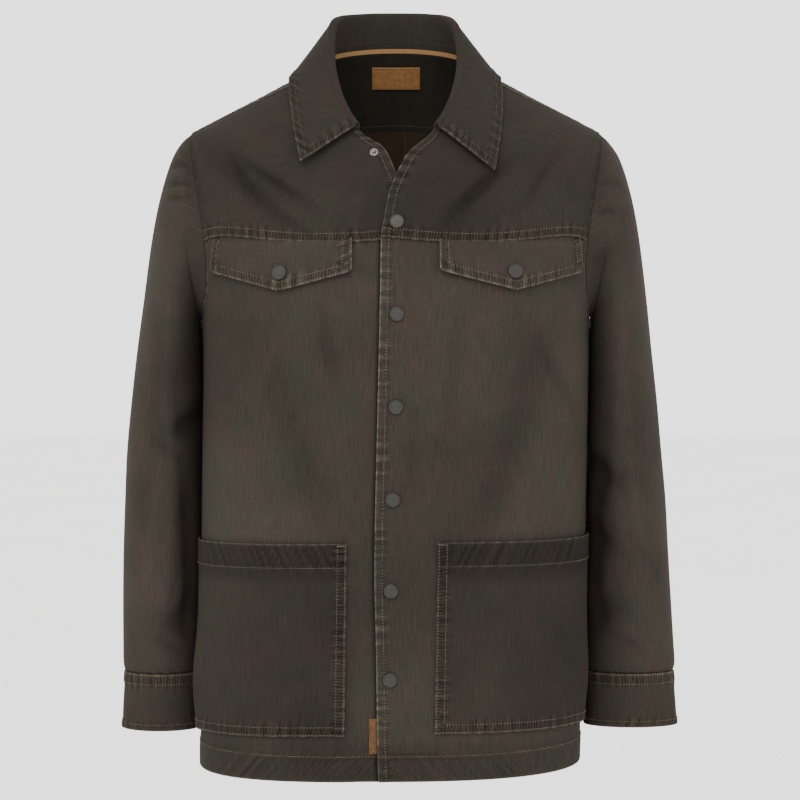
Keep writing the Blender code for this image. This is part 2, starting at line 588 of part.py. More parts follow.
def sleeve(side, sections, creases):
    """One sleeve, from the armhole's own points to the cuff."""
    flip = np.array([1.0 if side == "left" else -1.0, 1.0, 1.0])
    pairs = [(90.0, float(SHOULDER_LEVEL))] + armhole_front()[::-1] + armhole_back()
    angles, levels = np.array(pairs).T
    hole, hole_normals = form(angles, levels), form_normals(angles, levels)
    turns = np.linspace(0, 2 * math.pi, len(pairs), endpoint=False)
    rings = [hole]
    for ring in sections:
        rings.append(ring_points((ring.outer, 0, ring.z_outer), (ring.inner, 0, ring.z_inner),
                                 ring.middle, ring.half_depth, turns))
    grid = np.array(rings)
    normals = tube_normals(grid)
    agree = np.sum(normals[0] * hole_normals, axis=1)
    share = smooth_step((agree - 0.2) / 0.6)[:, None]
    into = hole.mean(axis=0) - hole
    into -= np.sum(into * hole_normals, axis=1, keepdims=True) * hole_normals
    into /= np.linalg.norm(into, axis=1, keepdims=True)
    grid[0] = hole + into * SEAM_GAP * 0.7 * share + hole_normals * SEAM_GAP * 1.3 * (1 - share)
    normals[0] = hole_normals * share + normals[0] * (1 - share)
    normals[0] /= np.linalg.norm(normals[0], axis=1, keepdims=True)
    grid[2:-1] = creased(grid[2:-1], normals[2:-1], turns, creases)
    outer, inner = grid * flip, (grid - normals * WALL) * flip
    wall(f"sleeve_{side}", outer, inner, "brushed_cotton", tube=True)


def cuff(side, sections):
    flip = np.array([1.0 if side == "left" else -1.0, 1.0, 1.0])
    turns = np.linspace(0, 2 * math.pi, 24, endpoint=False)
    grid = np.array([ring_points((ring.outer, 0, ring.z), (ring.inner, 0, ring.z), ring.middle,
                                 ring.half_depth, turns) for ring in sections])
    normals = tube_normals(grid)
    wall(f"cuff_{side}", grid * flip, (grid - normals * CUFF_WALL) * flip, "brushed_cotton",
         tube=True)


# ---------------------------------------------------------------- collar, tape and label

def left_station(row):
    """The collar's section on the left, where its point is wider and lower."""
    front = smooth_step((95.0 - row.angle) / 60.0)
    crest_x = row.crest_x + COLLAR_LEFT_FRONT * front
    crest_x -= COLLAR_LEFT_CREST * math.exp(-((row.angle - 118.0) / 28.0) ** 2)
    edge_x = row.edge_x + COLLAR_LEFT_WIDER * front
    edge_x -= COLLAR_LEFT_EDGE * math.exp(-((row.angle - 105.0) / 30.0) ** 2)
    return row._replace(crest_x=crest_x, edge_x=edge_x,
                        edge_z=row.edge_z - COLLAR_LEFT_LOWER * front)


def right_station(row):
    return row._replace(angle=360.0 - row.angle, crest_x=-row.crest_x, edge_x=-row.edge_x)


def collar_stations():
    """The collar's sections right round, from the left end of its seam to the right end."""
    left = [left_station(row) for row in COLLAR[::-1]]
    right = [right_station(row) for row in COLLAR[1:]]
    return Station(*np.array(left + right, dtype=float).T)


def clear_of_form(points, clearance):
    """The points, moved out where they come nearer than this to the shoulders' outer face."""
    angles, levels = np.meshgrid(np.arange(0.0, 360.0, 2.0), np.arange(5.0, NECK_LEVEL, 0.08))
    cloth = form(angles.ravel(), levels.ravel())
    normals = form_normals(angles.ravel(), levels.ravel())
    made = points.copy()
    for index, point in enumerate(points):
        nearest = np.argmin(np.sum((cloth - point) ** 2, axis=1))
        height = float(np.dot(point - cloth[nearest], normals[nearest]))
        made[index] += normals[nearest] * max(clearance - height, 0.0)
    return made


def collar_grid():
    """The middle of the collar's cloth, from the seam over the roll to the free edge."""
    stations = collar_stations()
    angles = stations.angle
    neck = np.full(len(angles), float(NECK_LEVEL))
    seam, seam_normals = form(angles, neck), form_normals(angles, neck)
    onward = seam - form(angles, neck - 0.02)
    onward /= np.linalg.norm(onward, axis=1, keepdims=True)
    crest = np.stack([stations.crest_x, stations.crest_y, stations.crest_z], axis=1)
    edge = np.stack([stations.edge_x, stations.edge_y, stations.edge_z], axis=1)
    away = crest * (1.0, 1.0, 0.0)
    away /= np.linalg.norm(away, axis=1, keepdims=True)
    foot = seam - seam_normals * WALL / 2 + onward * SEAM_GAP
    inner_top = crest - away * COLLAR_ROLL
    outer_top = crest + away * COLLAR_ROLL
    lines = []
    for step in range(COLLAR_STAND_STEPS + 1):
        share = step / COLLAR_STAND_STEPS
        lines.append(foot * (1 - share) + inner_top * share)
    for step in range(1, COLLAR_ROLL_STEPS):
        turn = math.pi * step / COLLAR_ROLL_STEPS
        up = np.array([0.0, 0.0, COLLAR_ROLL * math.sin(turn)])
        lines.append(crest - away * COLLAR_ROLL * math.cos(turn) + up)
    for step in range(COLLAR_FALL_STEPS + 1):
        share = step / COLLAR_FALL_STEPS
        belly = away * COLLAR_BELLY * math.sin(math.pi * share)
        fall = outer_top * (1 - share) + edge * share + belly
        lines.append(clear_of_form(fall, COLLAR_WALL / 2 + COLLAR_CLEARANCE))
    grid = np.array(lines)
    normals = np.cross(np.gradient(grid, axis=1), np.gradient(grid, axis=0))
    normals /= np.linalg.norm(normals, axis=2, keepdims=True)
    normals *= np.sign(np.sum(normals[1] * away, axis=1).mean())
    normals[0] = seam_normals
    return angles, grid, normals


def collar_and_tape():
    angles, grid, normals = collar_grid()
    half = np.full((len(grid), 1, 1), COLLAR_WALL / 2)
    half[0] = WALL / 2
    wall("collar", grid + normals * half, grid - normals * half, "brushed_cotton")
    taped = (angles > TAPE_FROM) & (angles < TAPE_TO)
    foot, up = grid[0, taped], grid[1, taped] - grid[0, taped]
    up /= np.linalg.norm(up, axis=1, keepdims=True)
    inward = -normals[1, taped]
    low = foot + up * TAPE_RISE + inward * (COLLAR_WALL / 2 + TAPE_GAP)
    face = np.array([low, low + up * TAPE_HEIGHT])
    wall("neck_tape", face, face + inward * TAPE_WALL, "tan_tape")


def patch(name, across, heights, axis_angle, lift, thickness, finish, inside=False, drop=0.0):
    """A small flat piece laid on the form, between x limits and heights."""
    grid, normals = [], []
    for height in heights:
        pairs = [locate(0, x, height, axis_angle + (x * 150.0 if axis_angle == 0 else -x * 150.0),
                        level_at(axis_angle, height)) for x in across]
        angles, levels = np.array(pairs).T
        grid.append(form(angles, levels))
        normals.append(form_normals(angles, levels))
    grid, normals = np.array(grid), np.array(normals)
    turn = -1.0 if inside else 1.0
    base = grid + normals * (turn * lift - drop)
    wall(name, base, base + normals * turn * thickness, finish)


def label_and_tab():
    patch("neck_label", np.linspace(-LABEL_HALF_WIDTH, LABEL_HALF_WIDTH, 5),
          np.linspace(LABEL_BOTTOM, LABEL_TOP, 3), 180.0, WALL + LAID_ON, LABEL_WALL,
          "tan_leather", inside=True)
    patch("hem_tab", np.linspace(TAB_LEFT, TAB_RIGHT, 3), np.linspace(TAB_BOTTOM, TAB_TOP, 4),
          0.0, 0.0004, TAB_WALL, "tan_leather", drop=UNDERLAP_DROP)


# ---------------------------------------------------------------- flaps, pockets and snaps

def flap(side, sizes):
    """A chest flap: it hangs from the yoke seam to a blunt point and lifts off toward its edge."""
    across = np.concatenate([np.linspace(sizes.inner, sizes.point, 6),
                             np.linspace(sizes.point, sizes.outer, 6)[1:]])
    corners = [abs(sizes.inner), abs(sizes.point), abs(sizes.outer)]
    ends = np.interp(np.abs(across), corners, [sizes.z_inner, sizes.z_point, sizes.z_outer])
    grid, normals = [], []
    for share in np.linspace(1.0, 0.0, 5):
        pairs = []
        for x, end in zip(across, ends):
            height = FLAP_TOP + (end - FLAP_TOP) * share
            guess = math.copysign(90.0 * min(abs(x) / 0.21, 0.95) ** 1.4, x)
            pairs.append(locate(0, x, height, guess, level_at(guess, height)))
        angles, levels = np.array(pairs).T
        out = form_normals(angles, levels)
        grid.append(form(angles, levels) + out * (LAID_ON + FLAP_LIFT * share**1.5))
        normals.append(out)
    grid, normals = np.array(grid), np.array(normals)
    wall(f"flap_{side}", grid + normals * FLAP_WALL, grid, "brushed_cotton")


def pocket_lift(share, height, swell):
    """How far a pocket stands off the front: a shallow belly, and a swelling near the side."""
    belly = np.sin(math.pi * share) ** 0.7 * math.sin(math.pi * min(height * 0.72 + 0.02, 1.0))
    side = np.exp(-((share - 0.86) / 0.09) ** 2) * math.exp(-((height - 0.24) / 0.26) ** 2)
    return LAID_ON + POCKET_BELLY * belly + swell * side


def pocket(side, sizes):
    """A lower pocket, open at its top, from its inner edge round to the side seam."""
    sign = math.copysign(1.0, sizes.inner_top)
    side_angle = sign * POCKET_SIDE_ANGLE
    share = np.linspace(0.0, 1.0, POCKET_COLUMNS)
    grid, normals = [], []
    for up in np.linspace(0.0, 1.0, POCKET_ROWS):
        inner = sizes.inner_bottom + (sizes.inner_top - sizes.inner_bottom) * up
        height = sizes.z_bottom + (sizes.z_top - sizes.z_bottom) * up
        side_height = sizes.z_side_bottom + (sizes.z_side_top - sizes.z_side_bottom) * up
        start = locate(0, inner, height, sign * 15.0, level_at(0.0, height))
        end = (side_angle, level_at(side_angle, side_height))
        angles, levels = spread(start, end, POCKET_COLUMNS).T
        out = form_normals(angles, levels)
        lift = pocket_lift(share, up, sizes.swell)
        grid.append(form(angles, levels) + out * lift[:, None])
        normals.append(out)
    grid, normals = np.array(grid), np.array(normals)
    wall(f"pocket_{side}", grid + normals * POCKET_WALL, grid, "brushed_cotton")


def turned(name, centre, axis, profile, finish, count=20):
    """A solid turned round an axis from (radius, height) pairs, the first and last at the axis."""
    axis = axis / np.linalg.norm(axis)
    first = np.cross(axis, (0.0, 0.0, 1.0))
    first /= np.linalg.norm(first)
    second = np.cross(axis, first)
    points = [centre + axis * profile[0][1]]
    for radius, height in profile[1:-1]:
        for step in range(count):
            turn = 2 * math.pi * step / count
            reach = first * math.cos(turn) + second * math.sin(turn)
            points.append(centre + axis * height + reach * radius)
    points.append(centre + axis * profile[-1][1])
    faces = []
    for step in range(count):
        after = (step + 1) % count
        faces.append([0, 1 + after, 1 + step])
        for ring in range(len(profile) - 3):
            start = 1 + ring * count
            faces.append([start + step, start + after, start + count + after,
                          start + count + step])
        start = 1 + (len(profile) - 3) * count
        faces.append([start + step, start + after, len(points) - 1])
    return add_solid(name, points, faces, finish)


def snap(name, across, height, lift):
    """A snap's cap: a low dome with a rolled edge, square to the cloth."""
    angle, level = locate(0, across, height, across * 300.0, level_at(0.0, height))
    centre = form(angle, level)[0]
    axis = form_normals(np.array([angle]), np.array([level]))[0]
    profile = ((0.0, 0.0), (SNAP_RADIUS * 0.94, 0.0), (SNAP_RADIUS, SNAP_HEIGHT * 0.30),
               (SNAP_RADIUS * 0.97, SNAP_HEIGHT * 0.68), (SNAP_RADIUS * 0.80, SNAP_HEIGHT * 0.92),
               (0.0, SNAP_HEIGHT))
    turned(name, centre + axis * lift, axis, profile, "olive_snap")


def snaps():
    for index, (across, height) in enumerate(SNAPS, start=1):
        snap(f"snap_{index}", across, height, 0.0004)
    for side, (across, height) in FLAP_SNAPS.items():
        snap(f"flap_snap_{side}", across, height, LAID_ON + FLAP_LIFT + FLAP_WALL + 0.0003)
    angle, level = locate(0, *STUD, STUD[0] * 300.0, level_at(0.0, STUD[1]))
    centre = form(angle, level)[0]
    axis = form_normals(np.array([angle]), np.array([level]))[0]
    profile = ((0.0, 0.0), (STUD_RADIUS, 0.0), (STUD_RADIUS, 0.0006), (0.0026, 0.0010),
               (0.0019, 0.0022), (0.0024, 0.0030), (0.0018, 0.0036), (0.0, 0.0037))
    turned("top_stud", centre + axis * 0.0004, axis, profile, "steel_stud", count=16)


def main():
    for old in list(bpy.data.objects):
        bpy.data.objects.remove(old, do_unlink=True)
    front_panels()
    back_panels()
    back_yoke()
    sleeve("left", LEFT_SLEEVE, LEFT_CREASES)
    sleeve("right", RIGHT_SLEEVE, RIGHT_CREASES)
    cuff("left", LEFT_CUFF)
    cuff("right", RIGHT_CUFF)
    collar_and_tape()
    label_and_tab()
    flap("left", LEFT_FLAP)
    flap("right", RIGHT_FLAP)
    pocket("left", LEFT_POCKET)
    pocket("right", RIGHT_POCKET)
    snaps()


main()
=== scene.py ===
"""A barn jacket in brushed, garment-washed cotton, laid out as a Blender add-on.

Every cloth piece is a thin shell cut from the same form as its solid: a point of the body is named
by its angle round the body (0 at the front, 90 at the wearer's left side) and its level, which
counts the rings from the hem to the neck. Folded edges, stitch channels and the puckers of the
washed seams are raised in the shells, and each stitch is a short piece of thread.
"""

import copy
import math
from collections import namedtuple

import bpy
import numpy as np
from bpy.props import FloatProperty, FloatVectorProperty, PointerProperty
from mathutils import Matrix, Vector


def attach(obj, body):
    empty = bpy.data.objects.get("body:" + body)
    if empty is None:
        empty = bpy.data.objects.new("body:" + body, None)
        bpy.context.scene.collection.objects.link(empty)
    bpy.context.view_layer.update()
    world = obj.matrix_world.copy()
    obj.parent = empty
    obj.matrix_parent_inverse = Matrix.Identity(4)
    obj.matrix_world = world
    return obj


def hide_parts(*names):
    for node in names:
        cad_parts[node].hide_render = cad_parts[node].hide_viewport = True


bl_info = {
    "name": "Barn Jacket",
    "version": (1, 0, 0),
    "blender": (4, 5, 0),
    "location": "3D View > Sidebar > Jacket",
    "description": "Builds the cloth, stitching, trims and studio of a barn jacket",
    "category": "Object",
}

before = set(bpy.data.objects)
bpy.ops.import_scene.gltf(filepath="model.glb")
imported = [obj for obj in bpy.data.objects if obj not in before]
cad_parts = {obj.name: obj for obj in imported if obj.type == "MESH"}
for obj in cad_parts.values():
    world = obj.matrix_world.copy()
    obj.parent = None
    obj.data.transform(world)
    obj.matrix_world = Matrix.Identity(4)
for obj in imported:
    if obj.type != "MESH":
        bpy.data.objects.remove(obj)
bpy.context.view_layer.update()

MM = 0.001

# ---------------------------------------------------------------- sizes of the form

Ring = namedtuple(
    "Ring", "z_front z_side z_back half_width front back corner fall drift tilt")
FORM = {
    "hem": Ring(-0.7490, -0.7450, -0.7470, 0.2030, 0.1270, 0.1310, 2.8, 1.4, -0.0065, 0.0028),
    "pocket": Ring(-0.6000, -0.6000, -0.6000, 0.2050, 0.1285, 0.1320, 2.5, 2.0, -0.0040, 0.0010),
    "waist": Ring(-0.4500, -0.4500, -0.4500, 0.2055, 0.1280, 0.1300, 2.5, 2.0, -0.0020, 0.0000),
    "chest": Ring(-0.3300, -0.3300, -0.3300, 0.2055, 0.1270, 0.1310, 2.5, 2.0, 0.0000, 0.0000),
    "underarm": Ring(-0.2830, -0.2700, -0.2820, 0.2065, 0.1255, 0.1320, 2.5, 2.0, 0.0000, 0.0000),
    "lower_armhole": Ring(-0.2400, -0.1900, -0.2250, 0.2125, 0.1220, 0.1310, 2.6, 2.0, 0.0000, 0.0000),
    "upper_armhole": Ring(-0.2050, -0.1300, -0.1750, 0.2170, 0.1165, 0.1260, 2.6, 2.0, 0.0000, 0.0000),
    "shoulder": Ring(-0.1740, -0.0765, -0.1250, 0.2170, 0.1090, 0.1160, 2.5, 2.0, 0.0000, 0.0000),
    "outer_slope": Ring(-0.1560, -0.0580, -0.0800, 0.1820, 0.1045, 0.1070, 2.4, 1.9, 0.0000, 0.0000),
    "slope": Ring(-0.1380, -0.0390, -0.0400, 0.1455, 0.0990, 0.0970, 2.2, 1.7, 0.0000, 0.0000),
    "inner_slope": Ring(-0.1130, -0.0195, -0.0100, 0.1100, 0.0920, 0.0850, 2.1, 1.5, 0.0000, 0.0000),
    "neck": Ring(-0.0905, 0.0000, 0.0130, 0.0740, 0.0830, 0.0720, 2.0, 1.15, 0.0000, 0.0000),
}
LEVELS = {name: index for index, name in enumerate(FORM)}
FORM_TABLE = np.array(list(FORM.values()))
UNDERARM_LEVEL = float(LEVELS["underarm"])
SHOULDER_LEVEL = LEVELS["shoulder"]
NECK_LEVEL = LEVELS["neck"]

ARMHOLE_FRONT = (  # height, forward
    (-0.2700, 0.0000), (-0.2655, -0.0260), (-0.2545, -0.0440), (-0.2380, -0.0550),
    (-0.2150, -0.0600), (-0.1900, -0.0600), (-0.1620, -0.0560), (-0.1350, -0.0480),
    (-0.1070, -0.0340), (-0.0782, -0.0140))
ARMHOLE_BACK = (  # height, behind
    (-0.2655, 0.0280), (-0.2530, 0.0500), (-0.2330, 0.0650), (-0.2060, 0.0740),
    (-0.1760, 0.0760), (-0.1470, 0.0720), (-0.1200, 0.0610), (-0.0970, 0.0420),
    (-0.0782, 0.0160))
FRONT_YOKE_ROW = 5
BACK_YOKE_ROW = 6
SHOULDER_SEAM_FORWARD = -0.0140
FRONT_YOKE_HEIGHT = -0.1865
BACK_YOKE_HEIGHT = -0.0720
FRONT_HEM_HEIGHT, BACK_HEM_HEIGHT = -0.7489, -0.7459
SIDE_HEIGHTS = (-0.7000, -0.6500, -0.6000, -0.5500, -0.5020, -0.4500, -0.4000, -0.3500, -0.3050)
OVER_EDGE = (  # across, height
    (-0.0181, -0.7490), (-0.0190, -0.7255), (-0.0207, -0.6013), (-0.0223, -0.5397),
    (-0.0216, -0.4781), (-0.0190, -0.3700), (-0.0168, -0.2707), (-0.0154, -0.1865),
    (-0.0092, -0.1485), (-0.0062, -0.1370), (0.0000, -0.1220), (0.0062, -0.1095),
    (0.0125, -0.0990), (0.0190, -0.0925), (0.0280, -0.0865), (0.0400, -0.0770))
UNDER_EDGE = (
    (0.0155, -0.7490), (0.0160, -0.7255), (0.0165, -0.6013), (0.0168, -0.5397),
    (0.0168, -0.4781), (0.0168, -0.3700), (0.0168, -0.2707), (0.0160, -0.1865),
    (0.0105, -0.1485), (0.0062, -0.1340), (0.0000, -0.1180), (-0.0060, -0.1040),
    (-0.0115, -0.0945), (-0.0180, -0.0890), (-0.0270, -0.0850), (-0.0370, -0.0780))
YOKE_EDGE_HEIGHTS = (-0.1865, -0.1700, -0.1540, -0.1390, -0.1250, -0.1120, -0.1000, -0.0905)
BACK_EASE = 1.7
WALL = 1.6 * MM
UNDERLAP_DROP = 2.6 * MM
LAID_ON = 0.8 * MM

# Soft folds and creases of the body: where, how they lean in degrees, and how deep they press in;
# a negative depth is a ridge. `face` is -1 on the front and 1 on the back.
Fold = namedtuple("Fold", "across height lean half_length half_width depth face")
FOLDS = (
    Fold(-0.1450, -0.1400, -40.0, 0.0600, 0.0100, 0.0022, -1),
    Fold(0.0780, -0.1450, 48.0, 0.0500, 0.0100, 0.0018, -1),
    Fold(-0.1000, -0.4000, -70.0, 0.1000, 0.0220, 0.0020, -1),
    Fold(0.1200, -0.3900, 72.0, 0.1100, 0.0200, 0.0022, -1),
    Fold(-0.1300, -0.2100, -52.0, 0.0700, 0.0140, 0.0030, 1),
    Fold(0.1250, -0.2200, 50.0, 0.0800, 0.0140, 0.0030, 1),
    Fold(0.0400, -0.4600, 84.0, 0.1300, 0.0240, 0.0025, 1),
    Fold(-0.0900, -0.5200, -80.0, 0.1100, 0.0220, 0.0022, 1),
)
FINE_CREASES = (
    Fold(-0.1280, -0.1270, -33.0, 0.0420, 0.0060, 0.0016, -1),
    Fold(-0.1620, -0.1180, -55.0, 0.0260, 0.0045, 0.0010, -1),
    Fold(-0.1050, -0.1620, -28.0, 0.0300, 0.0050, -0.0009, -1),
    Fold(0.0900, -0.1330, 40.0, 0.0340, 0.0060, 0.0012, -1),
    Fold(0.1500, -0.1250, 58.0, 0.0300, 0.0050, 0.0009, -1),
    Fold(-0.0350, -0.1400, 70.0, 0.0280, 0.0050, -0.0008, -1),
    Fold(-0.0700, -0.3000, -80.0, 0.0500, 0.0090, 0.0008, -1),
    Fold(0.0600, -0.3150, 84.0, 0.0550, 0.0080, 0.0007, -1),
    Fold(-0.1500, -0.3450, 64.0, 0.0400, 0.0070, -0.0009, -1),
    Fold(0.1650, -0.3300, -60.0, 0.0420, 0.0070, 0.0010, -1),
    Fold(0.0150, -0.4200, 88.0, 0.0600, 0.0080, 0.0006, -1),
    Fold(-0.0500, -0.6450, 82.0, 0.0500, 0.0080, 0.0007, -1),
    Fold(-0.1500, -0.1300, -42.0, 0.0450, 0.0070, 0.0016, 1),
    Fold(-0.1700, -0.2500, -66.0, 0.0500, 0.0070, 0.0014, 1),
    Fold(0.1550, -0.1400, 38.0, 0.0400, 0.0060, 0.0013, 1),
    Fold(0.1720, -0.2650, 62.0, 0.0540, 0.0080, -0.0012, 1),
    Fold(0.0900, -0.3400, 74.0, 0.0600, 0.0090, 0.0011, 1),
    Fold(-0.0350, -0.3000, -85.0, 0.0500, 0.0080, 0.0010, 1),
    Fold(-0.1150, -0.6100, -76.0, 0.0600, 0.0090, -0.0011, 1),
    Fold(0.1200, -0.5900, 80.0, 0.0560, 0.0080, 0.0010, 1),
)
FOLD_FADE = 0.05

SleeveRing = namedtuple("SleeveRing", "outer inner z_outer z_inner middle half_depth")
LEFT_SLEEVE = (
    SleeveRing(0.2280, 0.2086, -0.0860, -0.2735, 0.0080, 0.0660),
    SleeveRing(0.2400, 0.2086, -0.1050, -0.2770, 0.0100, 0.0670),
    SleeveRing(0.2520, 0.2080, -0.1430, -0.2830, 0.0130, 0.0675),
    SleeveRing(0.2610, 0.2072, -0.1900, -0.2930, 0.0160, 0.0675),
    SleeveRing(0.2693, 0.2064, -0.2540, -0.3090, 0.0200, 0.0670),
    SleeveRing(0.2752, 0.2058, -0.3080, -0.3350, 0.0230, 0.0660),
    SleeveRing(0.2813, 0.2054, -0.3610, -0.3720, 0.0250, 0.0650),
    SleeveRing(0.2863, 0.2050, -0.4150, -0.4190, 0.0260, 0.0640),
    SleeveRing(0.2913, 0.2046, -0.4680, -0.4700, 0.0260, 0.0610),
    SleeveRing(0.2942, 0.2043, -0.5215, -0.5230, 0.0240, 0.0550),
    SleeveRing(0.2973, 0.2040, -0.5750, -0.5760, 0.0210, 0.0480),
    SleeveRing(0.3000, 0.2040, -0.6200, -0.6200, 0.0180, 0.0410),
    SleeveRing(0.3013, 0.2042, -0.6430, -0.6430, 0.0160, 0.0365),
    SleeveRing(0.2993, 0.2044, -0.6525, -0.6525, 0.0160, 0.0330),
)
RIGHT_SLEEVE = (
    SleeveRing(0.2290, 0.2086, -0.0860, -0.2735, 0.0080, 0.0660),
    SleeveRing(0.2400, 0.2086, -0.1050, -0.2770, 0.0100, 0.0670),
    SleeveRing(0.2520, 0.2080, -0.1430, -0.2830, 0.0130, 0.0675),
    SleeveRing(0.2617, 0.2074, -0.1900, -0.2930, 0.0160, 0.0675),
    SleeveRing(0.2709, 0.2068, -0.2540, -0.3090, 0.0200, 0.0670),
    SleeveRing(0.2786, 0.2064, -0.3080, -0.3350, 0.0230, 0.0660),
    SleeveRing(0.2850, 0.2064, -0.3610, -0.3720, 0.0250, 0.0650),
    SleeveRing(0.2903, 0.2068, -0.4150, -0.4190, 0.0260, 0.0640),
    SleeveRing(0.2928, 0.2074, -0.4680, -0.4700, 0.0260, 0.0620),
    SleeveRing(0.2946, 0.2082, -0.5215, -0.5230, 0.0240, 0.0580),
    SleeveRing(0.2952, 0.2092, -0.5750, -0.5760, 0.0210, 0.0520),
    SleeveRing(0.2950, 0.2104, -0.6200, -0.6200, 0.0180, 0.0450),
    SleeveRing(0.2946, 0.2112, -0.6430, -0.6430, 0.0160, 0.0405),
    SleeveRing(0.2928, 0.2116, -0.6525, -0.6525, 0.0160, 0.0375),
)
CuffRing = namedtuple("CuffRing", "outer inner z middle half_depth")
LEFT_CUFF = (
    CuffRing(0.2994, 0.2044, -0.6528, 0.0160, 0.0335),
    CuffRing(0.3012, 0.2042, -0.6720, 0.0160, 0.0325),
    CuffRing(0.3028, 0.2040, -0.6920, 0.0160, 0.0315),
    CuffRing(0.3040, 0.2038, -0.7110, 0.0160, 0.0305),
)
RIGHT_CUFF = (
    CuffRing(0.2932, 0.2118, -0.6528, 0.0160, 0.0380),
    CuffRing(0.2942, 0.2118, -0.6730, 0.0160, 0.0378),
    CuffRing(0.2954, 0.2118, -0.6940, 0.0160, 0.0376),
    CuffRing(0.2962, 0.2118, -0.7140, 0.0160, 0.0374),
)
CUFF_WALL = 2.4 * MM
CREASE_RIDGE = 0.45  # the cloth stands up above a crease by this share of its depth
DRAPE_FADE, DRAPE_SWAY, DRAPE_WAVE = 0.06, 14.0, 0.085  # metres, degrees, metres

# Creases of the sleeves: height, turn round the sleeve in degrees (0 outside, 90 front, 180 at the
# body), slope along the turn, half length in degrees, half width and depth.
Crease = namedtuple("Crease", "height turn slope half_turn half_width depth")
LEFT_CREASES = (
    Crease(-0.4350, 138.0, 0.00030, 34.0, 0.0140, 0.0042),
    Crease(-0.5050, 142.0, 0.00030, 30.0, 0.0130, 0.0034),
    Crease(-0.5900, 135.0, -0.00020, 30.0, 0.0160, 0.0026),
    Crease(-0.4300, 235.0, -0.00030, 34.0, 0.0150, 0.0034),
    Crease(-0.3600, 215.0, -0.00020, 30.0, 0.0160, 0.0028),
    Crease(-0.2150, 118.0, -0.00060, 26.0, 0.0090, 0.0020),
    Crease(-0.1500, 92.0, 0.00050, 34.0, 0.0060, 0.0028),
    Crease(-0.1150, 70.0, 0.00080, 24.0, 0.0060, 0.0024),
    Crease(-0.6200, 95.0, 0.00040, 22.0, 0.0070, 0.0014),
    Crease(-0.6300, 250.0, -0.00030, 26.0, 0.0070, 0.0016),
    Crease(-0.5450, 250.0, 0.00040, 24.0, 0.0090, 0.0018),
    Crease(-0.2500, 240.0, 0.00060, 28.0, 0.0100, 0.0022),
    Crease(-0.2960, 176.0, 0.00000, 18.0, 0.0110, -0.0014),
)
RIGHT_CREASES = (
    Crease(-0.3850, 132.0, 0.00025, 34.0, 0.0140, 0.0044),
    Crease(-0.5950, 120.0, 0.00030, 30.0, 0.0170, 0.0028),
    Crease(-0.4400, 228.0, -0.00030, 34.0, 0.0150, 0.0036),
    Crease(-0.5200, 215.0, 0.00020, 30.0, 0.0160, 0.0026),
    Crease(-0.1100, 36.0, 0.00000, 11.0, 0.0038, 0.0030),
    Crease(-0.1300, 50.0, 0.00000, 12.0, 0.0042, 0.0036),
    Crease(-0.1445, 58.0, 0.00000, 13.0, 0.0034, 0.0032),
    Crease(-0.4150, 105.0, -0.00045, 26.0, 0.0080, 0.0020),
    Crease(-0.6250, 110.0, -0.00030, 24.0, 0.0070, 0.0016),
    Crease(-0.6320, 235.0, 0.00030, 26.0, 0.0070, 0.0016),
    Crease(-0.2600, 245.0, -0.00050, 28.0, 0.0100, 0.0022),
)
# Soft folds that run down a sleeve: turn, top and bottom heights, half width in degrees, depth.
Drape = namedtuple("Drape", "turn top bottom half_turn depth")
LEFT_DRAPES = (
    Drape(128.0, -0.3900, -0.6300, 13.0, 0.0030), Drape(98.0, -0.3000, -0.5600, 10.0, -0.0012),
    Drape(60.0, -0.2200, -0.6000, 14.0, 0.0012), Drape(225.0, -0.3000, -0.6200, 14.0, 0.0026),
    Drape(275.0, -0.2600, -0.5600, 14.0, 0.0018))
RIGHT_DRAPES = (
    Drape(122.0, -0.4200, -0.6400, 12.0, 0.0034), Drape(96.0, -0.3300, -0.6000, 9.0, -0.0014),
    Drape(62.0, -0.2300, -0.5800, 13.0, 0.0012), Drape(230.0, -0.3200, -0.6300, 14.0, 0.0026),
    Drape(280.0, -0.2500, -0.5500, 15.0, 0.0018))

Station = namedtuple("Station", "angle crest_x crest_y crest_z edge_x edge_y edge_z")
COLLAR = (
    Station(180.0, 0.0000, 0.0760, 0.0535, 0.0000, 0.0960, -0.0100),
    Station(163.0, 0.0240, 0.0745, 0.0532, 0.0330, 0.0930, -0.0110),
    Station(146.0, 0.0430, 0.0650, 0.0515, 0.0660, 0.0830, -0.0130),
    Station(128.0, 0.0590, 0.0470, 0.0485, 0.0940, 0.0610, -0.0150),
    Station(110.0, 0.0660, 0.0240, 0.0430, 0.1090, 0.0330, -0.0170),
    Station(95.0, 0.0685, 0.0070, 0.0320, 0.1130, 0.0060, -0.0170),
    Station(82.0, 0.0690, -0.0110, 0.0150, 0.1128, -0.0150, -0.0240),
    Station(71.0, 0.0680, -0.0260, -0.0040, 0.1115, -0.0340, -0.0400),
    Station(61.0, 0.0645, -0.0390, -0.0210, 0.1090, -0.0520, -0.0580),
    Station(51.0, 0.0580, -0.0520, -0.0410, 0.1060, -0.0680, -0.0760),
    Station(41.0, 0.0490, -0.0640, -0.0590, 0.1020, -0.0810, -0.0940),
    Station(32.7, 0.0400, -0.0735, -0.0715, 0.0985, -0.0930, -0.1090),
)
COLLAR_WALL = 2.0 * MM
COLLAR_ROLL = 3.8 * MM
COLLAR_CLEARANCE = 2.0 * MM
COLLAR_BELLY = 1.0 * MM
COLLAR_LEFT_WIDER = 3.5 * MM
COLLAR_LEFT_LOWER = 9.0 * MM
COLLAR_LEFT_CREST = 6.0 * MM
COLLAR_LEFT_FRONT = 2.0 * MM
COLLAR_LEFT_EDGE = 4.5 * MM

